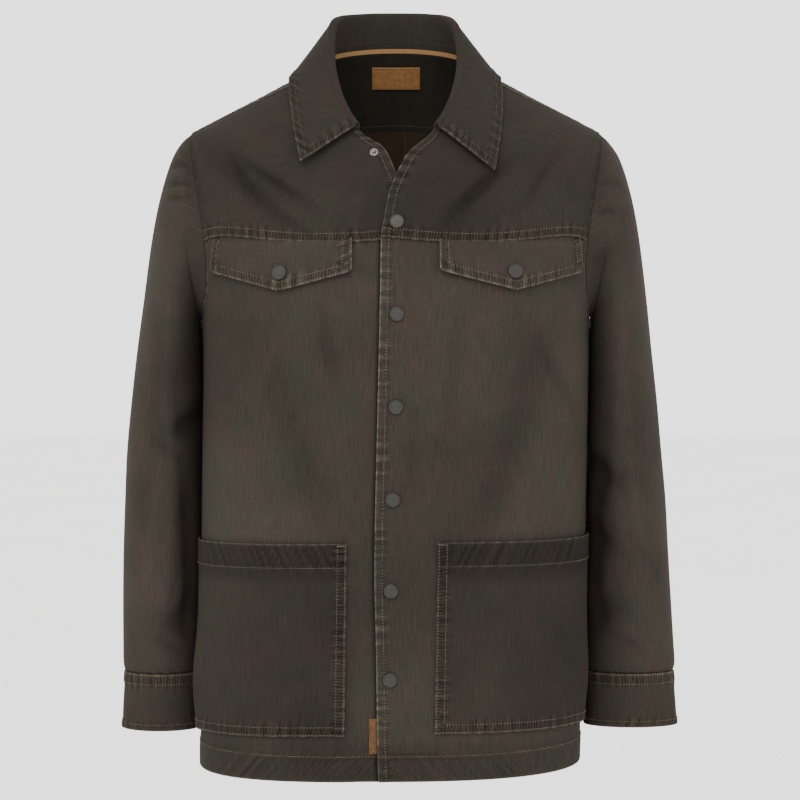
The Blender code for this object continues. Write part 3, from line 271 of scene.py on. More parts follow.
TAPE_HEIGHT = 4.8 * MM
TAPE_RISE = 1.2 * MM
TAPE_GAP = 0.4 * MM
TAPE_WALL = 0.9 * MM
TAPE_FROM, TAPE_TO = 70.0, 290.0
LABEL_TOP, LABEL_BOTTOM = 0.0005, -0.0230
LABEL_HALF_WIDTH = 0.0267
LABEL_WALL = 1.2 * MM
TAB_LEFT, TAB_RIGHT = -0.0277, -0.0196
TAB_TOP, TAB_BOTTOM = -0.6830, -0.7200
TAB_WALL = 1.2 * MM

Flap = namedtuple("Flap", "inner outer point z_inner z_outer z_point")
FLAPS = {"left": Flap(0.0450, 0.1915, 0.1230, -0.2215, -0.2225, -0.2410),
         "right": Flap(-0.0450, -0.1895, -0.1200, -0.2225, -0.2225, -0.2420)}
FLAP_TOP = -0.1860
FLAP_LIFT = 2.2 * MM
FLAP_WALL = 1.8 * MM

Pocket = namedtuple(
    "Pocket", "inner_top inner_bottom z_top z_bottom z_side_top z_side_bottom swell")
POCKETS = {"left": Pocket(0.0430, 0.0400, -0.5000, -0.6985, -0.5010, -0.6990, 0.0050),
           "right": Pocket(-0.0500, -0.0530, -0.5015, -0.7010, -0.5065, -0.7080, 0.0070)}
POCKET_SIDE_ANGLE = 88.6
POCKET_BELLY = 2.2 * MM
POCKET_WALL = 1.5 * MM

# ---------------------------------------------------------------- the form


def ring_sizes(level):
    """The ring's sizes at these levels, along a smooth curve that turns sharply at the shoulder."""
    level = np.asarray(level, float)
    start = np.clip(np.floor(level).astype(int), 0, NECK_LEVEL - 1)
    part = (level - start)[:, None]
    before = np.where(start == SHOULDER_LEVEL, start, np.maximum(start - 1, 0))
    after = np.where(start == SHOULDER_LEVEL - 1, start + 1, np.minimum(start + 2, NECK_LEVEL))
    first, last = FORM_TABLE[start], FORM_TABLE[start + 1]
    leave = (last - FORM_TABLE[before]) / np.maximum(start + 1 - before, 1)[:, None]
    arrive = (FORM_TABLE[after] - first) / np.maximum(after - start, 1)[:, None]
    square, cube = part**2, part**3
    return ((2 * cube - 3 * square + 1) * first + (cube - 2 * square + part) * leave
            + (3 * square - 2 * cube) * last + (cube - square) * arrive)


def signed_power(value, power):
    return np.sign(value) * np.abs(value) ** power


def smooth_step(value):
    value = np.clip(value, 0.0, 1.0)
    return value * value * (3 - 2 * value)


def fold_depth(points, folds):
    """How far the folds press each point in, along Y."""
    total = np.zeros(len(points))
    for fold in folds:
        along_x, along_z = math.cos(math.radians(fold.lean)), math.sin(math.radians(fold.lean))
        dx, dz = points[:, 0] - fold.across, points[:, 2] - fold.height
        along = (dx * along_x + dz * along_z) / fold.half_length
        aside = (dz * along_x - dx * along_z) / fold.half_width
        facing = np.clip(points[:, 1] * fold.face / FOLD_FADE, 0.0, 1.0)
        total -= fold.face * fold.depth * facing * np.exp(-along**2 - aside**2)
    return total


def form(angle, level):
    """Points on the outer face of the cloth, for angles in degrees and ring levels."""
    angle, level = np.broadcast_arrays(np.atleast_1d(angle).astype(float),
                                       np.atleast_1d(level).astype(float))
    ring = Ring(*ring_sizes(level).T)
    side, ahead = np.sin(np.radians(angle)), np.cos(np.radians(angle))
    depth = np.where(ahead > 0, ring.front, ring.back)
    z_end = np.where(ahead > 0, ring.z_front, ring.z_back)
    x = ring.half_width * signed_power(side, 2 / ring.corner) + ring.drift
    y = -depth * signed_power(ahead, 2 / ring.corner)
    z = ring.z_side + (z_end - ring.z_side) * np.abs(ahead) ** ring.fall + ring.tilt * side
    points = np.stack([x, y, z], axis=1)
    points[:, 1] += fold_depth(points, FOLDS)
    return points


def form_normals(angle, level):
    step = 0.02
    low, high = np.maximum(level - step, 0), np.minimum(level + step, NECK_LEVEL)
    up = form(angle, high) - form(angle, low)
    around = form(angle + 0.2, level) - form(angle - 0.2, level)
    normals = np.cross(around, up)
    return normals / np.linalg.norm(normals, axis=1, keepdims=True)


def locate(axis, across, height, angle, level):
    """The (angle, level) pairs near first guesses where the form has these heights and x or y."""
    wanted = np.stack(np.broadcast_arrays(across, height), axis=-1).astype(float).reshape(-1, 2)
    angle = np.array(np.broadcast_to(angle, len(wanted)), dtype=float)
    level = np.array(np.broadcast_to(level, len(wanted)), dtype=float)
    for _ in range(40):
        here = form(angle, level)[:, [axis, 2]]
        turn = (form(angle + 0.01, level)[:, [axis, 2]] - here) / 0.01
        climb = (form(angle, level + 0.001)[:, [axis, 2]] - here) / 0.001
        miss = wanted - here
        scale = turn[:, 0] * climb[:, 1] - climb[:, 0] * turn[:, 1]
        angle += np.clip((miss[:, 0] * climb[:, 1] - climb[:, 0] * miss[:, 1]) / scale, -8, 8)
        level += np.clip((turn[:, 0] * miss[:, 1] - miss[:, 0] * turn[:, 1]) / scale, -0.8, 0.8)
        level = np.clip(level, 0.0, NECK_LEVEL - 0.002)
        if np.abs(miss).max() < 1e-7:
            break
    return np.stack([angle, level], axis=1)


def levels_at(angles, heights):
    """The levels where lines up the body at these angles pass these heights."""
    angles, heights = np.broadcast_arrays(np.atleast_1d(angles), np.atleast_1d(heights))
    low, high = np.zeros(len(angles)), np.full(len(angles), float(NECK_LEVEL))
    for _ in range(40):
        middle = (low + high) / 2
        short = form(angles, middle)[:, 2] < heights
        low, high = np.where(short, middle, low), np.where(short, high, middle)
    return middle


def level_at(angle, height):
    return float(levels_at(angle, height)[0])


def angle_at(across, level, angle, axis=1):
    """The angle near a first guess where the ring at this level has this x or y."""
    for _ in range(40):
        here, there = form([angle, angle + 0.01], [level, level])[:, axis]
        angle += float(np.clip((across - here) * 0.01 / (there - here), -5, 5))
    return angle


def through(keys, steps, loop=False):
    """A smooth curve through the keys, with this many steps between each two."""
    keys = np.asarray(keys, float)
    if loop:
        before, first, last, after = (np.roll(keys, turn, axis=0) for turn in (1, 0, -1, -2))
    else:
        first, last = keys[:-1], keys[1:]
        before = np.concatenate([keys[:1], keys[:-2]])
        after = np.concatenate([keys[2:], keys[-1:]])
    shape = (1, steps) + (1,) * (keys.ndim - 1)
    part = (np.arange(steps) / steps).reshape(shape)
    leave, arrive = (last - before)[:, None] / 2, (after - first)[:, None] / 2
    first, last = first[:, None], last[:, None]
    square, cube = part**2, part**3
    made = ((2 * cube - 3 * square + 1) * first + (cube - 2 * square + part) * leave
            + (3 * square - 2 * cube) * last + (cube - square) * arrive)
    made = made.reshape(-1, *keys.shape[1:])
    return made if loop else np.concatenate([made, keys[-1:]])


def run_along(points, axis=0):
    """The distance run along lines of points, from the first point of each."""
    steps = np.linalg.norm(np.diff(points, axis=axis), axis=-1)
    zero = np.zeros_like(np.take(steps, [0], axis=axis))
    return np.concatenate([zero, np.cumsum(steps, axis=axis)], axis=axis)


def directions(points, axis):
    along = np.gradient(points, axis=axis)
    return along / np.maximum(np.linalg.norm(along, axis=-1, keepdims=True), 1e-12)


# ---------------------------------------------------------------- sheets of cloth

# How a panel's side is finished. "over" is a folded edge stitched down on its neighbour, "under"
# goes beneath one, "fold" is a free folded edge, and "plain" is a seam that sinks in.
# `rows` are the distances of its stitch rows from the edge, and `slant` twists the puckers.
Edge = namedtuple("Edge", "kind rows slant", defaults=((), 0.0))
PLAIN = Edge("plain")
UNDER = Edge("under")
DOUBLE_ROWS = (1.7 * MM, 9.6 * MM)
EDGE_STEPS = np.array((0.0, 0.35, 0.9, 1.7, 2.7, 4.2, 6.0, 7.8, 9.4, 11.2, 13.4, 16.0)) * MM
CELL = 3.4 * MM

SPAN_FADE = 0.02
BAND_FADE = 2.5 * MM
CHANNEL_WIDTH = 0.9 * MM
HEM_FROM = 20.0 * MM  # a turned-up edge whose stitch row is farther in than this is a hem
PUCKER_REACH = 13.0 * MM  # puckers fade out this far past the last stitch row
EDGE_ROLL = 0.9 * MM
SINK = 0.7 * MM
SINK_WIDTH = 2.4 * MM
UNDER_REACH = 3.0 * MM
# Painted shade in the hollows of folds, and how much darker some of the pieces are all over.
FOLD_SHADE = 0.42
COLLAR_SHADE, YOKE_SHADE, POCKET_SHADE, CUFF_SHADE = 0.42, 0.38, 0.42, 0.12


def sizes():
    """The sizes of the sewing, as the panel has them."""
    return bpy.context.scene.jacket_sewing


def ripple(run, seed):
    """An uneven row of puckers along a seam, between about -1 and 1."""
    chance = np.random.RandomState(seed)
    total = np.zeros_like(run)
    for _ in range(9):
        length = chance.uniform(7.5, 17.0) * MM
        total += chance.uniform(0.3, 0.6) * np.sin(2 * math.pi * (run / length + chance.rand()))
    swell = 0.65 + 0.35 * np.sin(2 * math.pi * (run / 0.090 + chance.rand()))
    return np.tanh(total) * swell


def spaced(length, middle, near, far):
    """Places along a length: close together by the edges, then even. Near and far are how square
    the line meets each edge."""
    start = EDGE_STEPS / near
    end = length - EDGE_STEPS[::-1] / far
    between = np.linspace(start[-1], end[0], middle + 2)[1:-1]
    return np.concatenate([start, between, end])


class Sheet:
    """A grid of cloth: rows run from its left side, "l", to its right one, "r", and the first row
    is its bottom, "b", and the last its top, "t". For each side, `run` is the distance along it and
    `off` the distance from it. `lift` raises the finished face, `wear_and_shade` is above 0 where
    the cloth is rubbed pale and below 0 where it is darker, partly as painted shade in the hollows
    of folds and beside and beneath overlapping edges, and `thin` narrows the wall at its edges."""

    def __init__(self, points, normals, uv, loop=False):
        self.points, self.normals, self.uv, self.loop = points, normals, uv, loop
        across, upward = run_along(points, 1), run_along(points, 0)
        slope_left, slope_right = squareness(points, 0), squareness(points, -1)
        self.run = {"l": upward, "r": upward, "b": across, "t": across}
        self.off = {"l": across * slope_left[:, None],
                    "r": (across[:, -1:] - across) * slope_right[:, None],
                    "b": upward, "t": upward[-1:] - upward}
        self.lift = np.zeros(points.shape[:2])
        self.wear_and_shade = np.zeros(points.shape[:2])
        self.thin = np.zeros(points.shape[:2])
        self.seam = np.zeros((*points.shape[:2], 3))

    def faces_in(self):
        """Whether the grid's own faces turn away from its normals."""
        across, upward = directions(self.points, 1), directions(self.points, 0)
        return float(np.sum(np.cross(across, upward) * self.normals)) < 0

    def finish_side(self, side, edge, seed, span=(0.0, 1.0)):
        """Raises or sinks one side as its edge says. The span is the share of the side it covers."""
        off, run = self.off[side], self.run[side]
        share = run / np.maximum(run.max(), 1e-9)
        inside = smooth_step((share - span[0]) / SPAN_FADE + 0.5)
        inside = inside * smooth_step((span[1] - share) / SPAN_FADE + 0.5)
        inside = np.where((span[0] <= 0) & (share <= 0.05), 1.0, inside)
        inside = np.where((span[1] >= 1) & (share >= 0.95), 1.0, inside)
        last = max(edge.rows, default=0.0)
        waves = ripple(run + edge.slant * off, seed)
        if edge.kind in ("over", "fold"):
            band = smooth_step((last + BAND_FADE + 0.5 * MM - off) / BAND_FADE)
            roll = np.clip(1 - off / EDGE_ROLL, 0, 1) ** 2
            self.lift += inside * sizes().fold_lift * (band - 0.8 * roll)
            self.thin = np.maximum(self.thin, inside * roll)
            self.wear_and_shade += inside * np.exp(-((off - 0.3 * MM) / (0.9 * MM)) ** 2) * (0.9 + 0.25 * waves)
        if edge.kind in ("under", "plain"):
            sink = np.clip(1 - off / SINK_WIDTH, 0, 1) ** 2
            self.lift -= inside * SINK * sink
        if edge.kind == "under":
            self.reach_under(side, inside * np.clip(1 - off / (2.8 * MM), 0, 1) ** 2)
            self.lift -= inside * 0.35 * MM * np.clip(1 - off / (1.2 * MM), 0, 1)
            # Painted shade: the cloth is darkened where it goes beneath the edge of the piece sewn over
            # it.
            self.wear_and_shade -= inside * 1.1 * np.exp(-(off / (1.6 * MM)) ** 2)
        reach = smooth_step((last + PUCKER_REACH - off) / PUCKER_REACH)
        strength = 1.0 if edge.rows else 0.45
        self.lift += inside * sizes().pucker_height * strength * reach * waves
        paler = 0.42 if last < 12.0 * MM else 0.16
        self.wear_and_shade += inside * paler * strength * reach**2 * waves
        if last > HEM_FROM:
            below = smooth_step((last - off) / (6.0 * MM)) * smooth_step((off - 1.5 * MM) / (4.0 * MM))
            drawn = np.clip(ripple(1.6 * (run + edge.slant * off), seed + 7), -0.2, 1.0)
            self.wear_and_shade -= inside * below * (0.06 + 0.34 * drawn)
            self.wear_and_shade -= inside * 0.24 * smooth_step((last + 24 * MM - off) / (18 * MM))
        for row in edge.rows:
            channel = np.exp(-((off - row) / CHANNEL_WIDTH) ** 2)
            self.lift -= inside * sizes().channel_depth * channel
            self.wear_and_shade += inside * 0.16 * channel
        near = min(edge.rows, default=0.0)
        beyond = np.maximum(off - last, np.where(near < 3.0 * MM, 0.0, near - off))
        mask = smooth_step(1 - beyond / (5.0 * MM)) * (1.0 if edge.rows else 0.5)
        self.mark_seam(run + edge.slant * off, off, inside * mask, seed)

    def finish_sides(self, seed, *sides):
        """Finishes each (side, edge, span) in turn, each with its own puckers."""
        for step, (side, edge, *span) in enumerate(sides):
            self.finish_side(side, edge, seed + step, *span)

    def wrong_side(self, wall):
        """The same sheet seen from its inner face."""
        depth = wall - 0.5 * wall * self.thin - 0.4 * self.lift
        other = copy.copy(self)
        other.points = self.points - self.normals * depth[..., None]
        other.normals, other.lift = -self.normals, np.zeros_like(self.lift)
        return other

    def reach_under(self, side, share):
        """Draws the cloth beside a seam on beneath the piece that is sewn over it."""
        axis, turn = (1 if side in "lr" else 0), (1 if side in "rt" else -1)
        self.points = self.points + (
            directions(self.points, axis) * (turn * UNDER_REACH * share)[..., None])

    def mark_seam(self, run, off, mask, seed):
        """Notes how far along and how far off the seam the cloth is, where this seam is nearest."""
        nearer = mask > self.seam[..., 2]
        here = np.stack([run + 0.37 * seed, off, mask], -1)
        self.seam = np.where(nearer[..., None], here, self.seam)

    def outer(self):
        return self.points + self.normals * self.lift[..., None]

    def line(self, side, distance, span=(0.0, 1.0), clear=""):
        """Points and normals of the line at this distance from a side, on the finished face. It
        stays as far from the sides in `clear`, and within this share of its own side."""
        off = self.off[side]
        apart = [self.off[other] for other in clear]
        share = self.run[side] / self.run[side].max()
        grids = np.concatenate([self.outer(), self.normals, share[..., None], *(
            grid[..., None] for grid in apart)], axis=-1)
        if side in "bt":
            off, grids = off.T, grids.swapaxes(0, 1)
        if side in "rt":
            off, grids = off[:, ::-1], grids[:, ::-1]
        found = []
        for offs, line in zip(off, grids):
            column = int(np.clip(np.searchsorted(offs, distance), 1, len(offs) - 1))
            low, high = offs[column - 1], offs[column]
            part = np.clip((distance - low) / max(high - low, 1e-9), 0, 1)
            found.append(line[column - 1] * (1 - part) + line[column] * part)
        found = np.array(found)
        kept = (found[:, 6] >= span[0] - 1e-6) & (found[:, 6] <= span[1] + 1e-6)
        kept &= np.all(found[:, 7:] >= distance - 0.3 * MM, axis=1)
        return found[kept, :3], found[kept, 3:6]


GRAIN_ANGLES = np.arange(-200.0, 291.0, 5.0)
GRAIN_LEVELS = np.linspace(0.0, NECK_LEVEL, 111)


def grain_table():
    """How far up the body each level is at each angle, and how far round each angle is."""
    columns = [run_along(form(angle, GRAIN_LEVELS)) for angle in GRAIN_ANGLES]
    around = run_along(form(GRAIN_ANGLES, float(LEVELS["chest"])))
    return np.array(columns), around - np.interp(0.0, GRAIN_ANGLES, around)


GRAIN_UP, GRAIN_ROUND = grain_table()


def body_uv(pairs):
    """Places on the flat cloth, in metres, for (angle, level) pairs of the body."""
    angle, level = pairs[..., 0], pairs[..., 1]
    column = np.clip((angle - GRAIN_ANGLES[0]) / 5.0, 0, len(GRAIN_ANGLES) - 1.001)
    row = np.clip(level * 10.0, 0, len(GRAIN_LEVELS) - 1.001)
    left, below = column.astype(int), row.astype(int)
    part, rise = column - left, row - below
    low = GRAIN_UP[left, below] * (1 - part) + GRAIN_UP[left + 1, below] * part
    high = GRAIN_UP[left, below + 1] * (1 - part) + GRAIN_UP[left + 1, below + 1] * part
    return np.stack([np.interp(angle, GRAIN_ANGLES, GRAIN_ROUND), low * (1 - rise) + high * rise], -1)


def body_pairs(left, right, ease=1.0, cell=CELL):
    """Rows of (angle, level) pairs between two edges given as matching curves of such pairs."""
    share = np.linspace(0, 1, 121)[:, None]
    edge_run = [run_along(form(*edge.T)) for edge in (left, right)]
    mean_run = (edge_run[0] + edge_run[1]) / 2
    rows = spaced(mean_run[-1], max(round(mean_run[-1] / cell) - 10, 4), 1.0, 1.0)
    left, right = (np.stack([np.interp(rows, mean_run, edge[:, axis]) for axis in (0, 1)], 1)
                   for edge in (left, right))
    lines = []
    for start, end in zip(left, right):
        line = start * (1 - share) + end * share
        line[:, 1] = start[1] + (end[1] - start[1]) * share[:, 0] ** ease
        lines.append(line)
    lines = np.array(lines)
    points = form(lines[..., 0].ravel(), lines[..., 1].ravel()).reshape(*lines.shape[:2], 3)
    runs = run_along(points, 1)
    squares = [squareness(points, column) for column in (0, -1)]
    middle = max(round(runs[:, -1].max() / cell) - 10, 4)
    pairs = []
    for line, run, near, far in zip(lines, runs, *squares):
        wanted = spaced(run[-1], middle, near, far)
        pairs.append(np.stack([np.interp(wanted, run, line[:, axis]) for axis in (0, 1)], 1))
    return np.array(pairs)


def sheet_on_body(pairs, drop=None):
    flat = pairs.reshape(-1, 2)
    points = form(*flat.T)
    normals = form_normals(*flat.T)
    pressed = fold_depth(points, FINE_CREASES)
    hollow = -np.sign(points[:, 1]) * (pressed + 0.6 * fold_depth(points, FOLDS))
    points[:, 1] += pressed
    if drop is not None:
        points -= normals * drop(points)[:, None]
    shape = (*pairs.shape[:2], 3)
    sheet = Sheet(points.reshape(shape), normals.reshape(shape), body_uv(pairs))
    # Painted shade in the hollows of the folds; their ridges are drawn a little paler.
    sheet.wear_and_shade -= FOLD_SHADE * np.clip(hollow / (1.5 * MM), -0.12, 1.0).reshape(shape[:2])
    return sheet


# ---------------------------------------------------------------- edges of the panels

KEY_STEPS = 12


def armhole_keys():
    """The armhole's points: the top of the shoulder, down the front, then up the back."""
    front = [(90.0, UNDERARM_LEVEL)]
    for height, forward in ARMHOLE_FRONT[1:-1]:
        front.append(tuple(locate(1, forward, height, 70.0, front[-1][1] + 0.2)[0]))
    front.append((angle_at(SHOULDER_SEAM_FORWARD, SHOULDER_LEVEL, 84.0), float(SHOULDER_LEVEL)))
    back = []
    level = UNDERARM_LEVEL
    for height, behind in ARMHOLE_BACK[:-1]:
        back.append(tuple(locate(1, behind, height, 110.0, level + 0.2)[0]))
        level = back[-1][1]
    back.append((angle_at(ARMHOLE_BACK[-1][1], SHOULDER_LEVEL, 96.0), float(SHOULDER_LEVEL)))
    return [(90.0, float(SHOULDER_LEVEL))] + front[::-1] + back


ARMHOLE = through(armhole_keys(), KEY_STEPS, loop=True)
FRONT_KEYS, BACK_KEYS = len(ARMHOLE_FRONT), len(ARMHOLE_BACK)
ARM_FRONT = ARMHOLE[KEY_STEPS:FRONT_KEYS * KEY_STEPS + 1][::-1]
ARM_BACK = ARMHOLE[FRONT_KEYS * KEY_STEPS:(FRONT_KEYS + BACK_KEYS) * KEY_STEPS + 1]
ARM_TOP = np.concatenate([ARMHOLE[(FRONT_KEYS + BACK_KEYS) * KEY_STEPS:], ARMHOLE[:KEY_STEPS + 1]])


def joined(*curves):
    """Curves that follow on from each other, with each shared point kept once."""
    return np.concatenate([curves[0]] + [curve[1:] for curve in curves[1:]])


def shoulder_seam():
    levels = np.linspace(SHOULDER_LEVEL, NECK_LEVEL, 5)[1:]
    keys = [(angle_at(SHOULDER_SEAM_FORWARD, level, 82.0), float(level)) for level in levels]
    return through([ARM_FRONT[-1]] + keys, KEY_STEPS)


def side_seam():
    levels = [0.0] + [level_at(90.0, height) for height in SIDE_HEIGHTS] + [UNDERARM_LEVEL]
    return through([(90.0, level) for level in levels], KEY_STEPS)


def free_edge(edge, heights):
    """(angle, level) keys down a front's free edge."""
    table = np.array(edge)
    keys = []
    level = level_at(0.0, heights[0])
    for height in heights:
        across = float(np.interp(height, table[:, 1], table[:, 0]))
        keys.append(locate(0, across, height, across * 150.0, level + 0.1)[0])
        level = keys[-1][1]
    return keys


def mirrored(pairs):
    return pairs * (-1.0, 1.0)


def underlap(points):
    """How far the inner front drops inside the outer one, near the middle and below the V."""
    near = smooth_step((points[..., 0] + 0.062) / 0.030)
    below = smooth_step((-0.102 - points[..., 2]) / 0.012)
    return UNDERLAP_DROP * near * below


# ---------------------------------------------------------------- meshes

def new_piece(name, points, faces, materials, uv=None, wear_and_shade=None, seam=None, indexes=None):
    """An object from points and faces, shaded smooth."""
    mesh = bpy.data.meshes.new(name)
    mesh.from_pydata(points.tolist(), [], faces if isinstance(faces, list) else faces.tolist())
    if uv is not None:
        mesh.uv_layers.new(name="cloth").data.foreach_set("uv", uv.ravel().astype(np.float32))
    if wear_and_shade is not None:
        mesh.attributes.new("wear_and_shade", "FLOAT", "POINT").data.foreach_set(
            "value", wear_and_shade.astype(np.float32))
        mesh.attributes.new("seam", "FLOAT_VECTOR", "POINT").data.foreach_set(
            "vector", seam.ravel().astype(np.float32))
    for material in materials:
        mesh.materials.append(material)
    if indexes is not None:
        mesh.polygons.foreach_set("material_index", indexes.astype(np.int32))
    mesh.shade_smooth()
    mesh.set_sharp_from_angle(angle=math.radians(60))
    made = bpy.data.objects.new(name, mesh)
    bpy.context.scene.collection.objects.link(made)
    return made


def squareness(points, column):
    """How square the rows meet one side of a grid, as the sine of the angle between them."""
    rows = directions(points, 1)[:, column]
    edge = directions(points, 0)[:, column]
    return np.clip(np.linalg.norm(np.cross(rows, edge), axis=1), 0.45, 1.0)


def shell(node, sheet, wall=WALL, slot="brushed_cotton", right_side="brushed_cotton",
          wrong_side="cotton_wrong_side"):
    """A thin closed wall on a sheet's finished face, which stands for its CAD node."""
    rows, columns = sheet.points.shape[:2]
    outer = sheet.outer()
    inner = sheet.wrong_side(wall).points
    last = columns if sheet.loop else columns - 1
    row, column = np.meshgrid(np.arange(rows - 1), np.arange(last), indexing="ij")
    after = (column + 1) % columns
    corners = ((row, column), (row, after), (row + 1, after), (row + 1, column))
    places = ((row, column), (row, column + 1), (row + 1, column + 1), (row + 1, column))
    quads = np.stack([a * columns + b for a, b in corners], -1).reshape(-1, 4)
    uv = np.stack([sheet.uv[a, b] for a, b in places], -2).reshape(-1, 4, 2)
    if sheet.faces_in():
        quads, uv = quads[:, ::-1], uv[:, ::-1]
    inside = rows * columns
    rim, rim_uv = rim_faces(sheet, inside)
    faces = np.concatenate([quads, inside + quads[:, ::-1], rim])
    all_uv = np.concatenate([uv, uv[:, ::-1], rim_uv])
    indexes = np.zeros(len(faces))
    indexes[len(quads):2 * len(quads)] = 1
    points = np.concatenate([outer.reshape(-1, 3), inner.reshape(-1, 3)])
    wear_and_shade = np.concatenate([sheet.wear_and_shade.ravel(), np.zeros(inside)])
    seam = np.concatenate([sheet.seam.reshape(-1, 3), np.zeros((inside, 3))])
    materials = [finish(right_side), finish(wrong_side)]
    made = new_piece(f"{node}_cloth", points, faces, materials, all_uv, wear_and_shade, seam, indexes)
    stand_for(made, slot, node)


def rim_faces(sheet, inside):
    """Faces that close a wall between its two grids, along every open side."""
    rows, columns = sheet.points.shape[:2]
    index = np.arange(rows * columns).reshape(rows, columns)
    across = np.concatenate([index, index[:, :1]], 1) if sheet.loop else index
    lines = [(across[0], sheet.uv[0], 1), (across[-1], sheet.uv[-1], -1)]
    if not sheet.loop:
        lines += [(index[:, 0], sheet.uv[:, 0], -1), (index[:, -1], sheet.uv[:, -1], 1)]
    faces, places = [], []
    flip = -1 if sheet.faces_in() else 1
    for line, uv, turn in lines:
        uv = uv[:len(line)]
        ring = np.stack([line[1:], line[:-1], line[:-1] + inside, line[1:] + inside], -1)
        place = np.stack([uv[1:], uv[:-1], uv[:-1], uv[1:]], -2)
        if turn * flip < 0:
            ring, place = ring[:, ::-1], place[:, ::-1]
        faces.append(ring)
        places.append(place)
    return np.concatenate(faces), np.concatenate(places)


# ---------------------------------------------------------------- thread

Stitch = namedtuple("Stitch", "pitch length radius")
TACK = Stitch(2.5 * MM, 2.2 * MM, 0.36 * MM)
LEATHER_STITCH = Stitch(2.6 * MM, 1.9 * MM, 0.24 * MM)
THREAD_SIDES = 5
THREAD_RINGS = ((-0.34, 0.80, 0.15), (0.0, 1.0, 0.45), (0.34, 0.80, 0.15))  # along, radius, rise


def topstitch():
    return Stitch(sizes().stitch_pitch, sizes().stitch_length, sizes().thread_width / 2)


def stitches(points, normals, stitch=None):
    """Points of short threads that lie along a line on the cloth, 17 to a stitch."""
    pitch, length, radius = stitch or topstitch()
    run = run_along(points)
    count = int((run[-1] - pitch) / pitch)
    if count < 1:
        return np.zeros((0, 3 * THREAD_SIDES + 2, 3))
    middles = (np.arange(count) + 1.0) * pitch

    def at(place, table):
        return np.stack([np.interp(place, run, table[:, axis]) for axis in range(3)], 1)

    ahead = at(middles + length / 2, points) - at(middles - length / 2, points)
    ahead /= np.linalg.norm(ahead, axis=1, keepdims=True)
    up = at(middles, normals)
    up -= np.sum(up * ahead, axis=1, keepdims=True) * ahead
    up /= np.linalg.norm(up, axis=1, keepdims=True)
    aside = np.cross(ahead, up)
    centre = at(middles, points)
    made = [centre - ahead * length / 2 - up * radius * 0.7]
    for along, width, rise in THREAD_RINGS:
        for side in range(THREAD_SIDES):
            turn = 2 * math.pi * side / THREAD_SIDES
            reach = aside * math.cos(turn) + up * math.sin(turn)
            made.append(centre + ahead * along * length + (reach * width + up * rise) * radius)
    made.append(centre + ahead * length / 2 - up * radius * 0.7)
    return np.stack(made, 1)


def stitch_faces():
    """The faces of one stitch, with its ends as fans."""
    faces = []
    for side in range(THREAD_SIDES):
        after = (side + 1) % THREAD_SIDES
        faces.append((0, 1 + side, 1 + after))
        for ring in range(len(THREAD_RINGS) - 1):
            start = 1 + ring * THREAD_SIDES
            faces.append((start + side, start + THREAD_SIDES + side,
                          start + THREAD_SIDES + after, start + after))
        start = 1 + (len(THREAD_RINGS) - 1) * THREAD_SIDES
        faces.append((start + side, len(THREAD_RINGS) * THREAD_SIDES + 1, start + after))
    return faces


def sew(piece, rows, thread="tan_thread"):
    """One mesh of all the stitches of a piece, from its rows of them."""
    threads = np.concatenate(rows)
    pattern = stitch_faces()
    size = threads.shape[1]
    faces = [tuple(size * index + corner for corner in face)
             for index in range(len(threads)) for face in pattern]
    made = new_piece(f"{piece}_stitches", threads.reshape(-1, 3), faces, [finish(thread)])
    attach(made, "root")


def rows_beside(sheet, side, edge, span=(0.0, 1.0), clear=""):
    """The stitch rows along one side of a sheet, as far from the sides in `clear`."""
    return [stitches(*sheet.line(side, distance, span, clear)) for distance in edge.rows]


# ---------------------------------------------------------------- cloth pieces

FELLED = Edge("over", DOUBLE_ROWS)
ARM_SEAM = Edge("over")
PLACKET = Edge("fold", (8.0 * MM,))
HEM = Edge("fold", (26.5 * MM,), 0.9)
POCKET_HEM = Edge("fold", (25.0 * MM,), 0.5)
LEAF = Edge("fold", (1.8 * MM, 9.0 * MM), 0.15)

# Where the side seam ends and the armhole starts, as a share of that side of the piece.
FRONT_ARMHOLE_FROM = 0.84
BACK_ARMHOLE_FROM = 0.70
YOKE_ARMHOLE_TO = 0.47


def front(side):
    """One lower front, from the hem to the yoke seam."""
    edge, drop = (OVER_EDGE, None) if side == "left" else (UNDER_EDGE, underlap)
    climb = np.linspace(SIDE_HEIGHTS[-1], FRONT_YOKE_HEIGHT, FRONT_YOKE_ROW + 2)[1:]
    heights = [FRONT_HEM_HEIGHT] + list(SIDE_HEIGHTS) + list(climb)
    outer = joined(side_seam(), ARM_FRONT[:FRONT_YOKE_ROW * KEY_STEPS + 1])
    if side == "right":
        outer = mirrored(outer)
    sheet = sheet_on_body(body_pairs(through(free_edge(edge, heights), KEY_STEPS), outer), drop)
    if side == "right":
        # Painted shade: the cloth beside the placket's edge is darkened, as the placket shades it.
        edge_x = np.interp(sheet.points[..., 2], *np.array(OVER_EDGE).T[::-1])
        beside = (edge_x - sheet.points[..., 0]) / (2.4 * MM)
        sheet.wear_and_shade -= np.exp(-np.clip(beside, 0, None) ** 2)
    seed = 10 if side == "left" else 20
    sheet.finish_sides(seed, ("l", PLACKET), ("b", HEM), ("r", UNDER, (0.0, FRONT_ARMHOLE_FROM)),
                       ("r", ARM_SEAM, (FRONT_ARMHOLE_FROM, 1.0)), ("t", UNDER))
    shell(f"front_{side}", sheet)
    rows = rows_beside(sheet, "l", PLACKET) + rows_beside(sheet, "b", HEM)
    sew(f"front_{side}", rows)


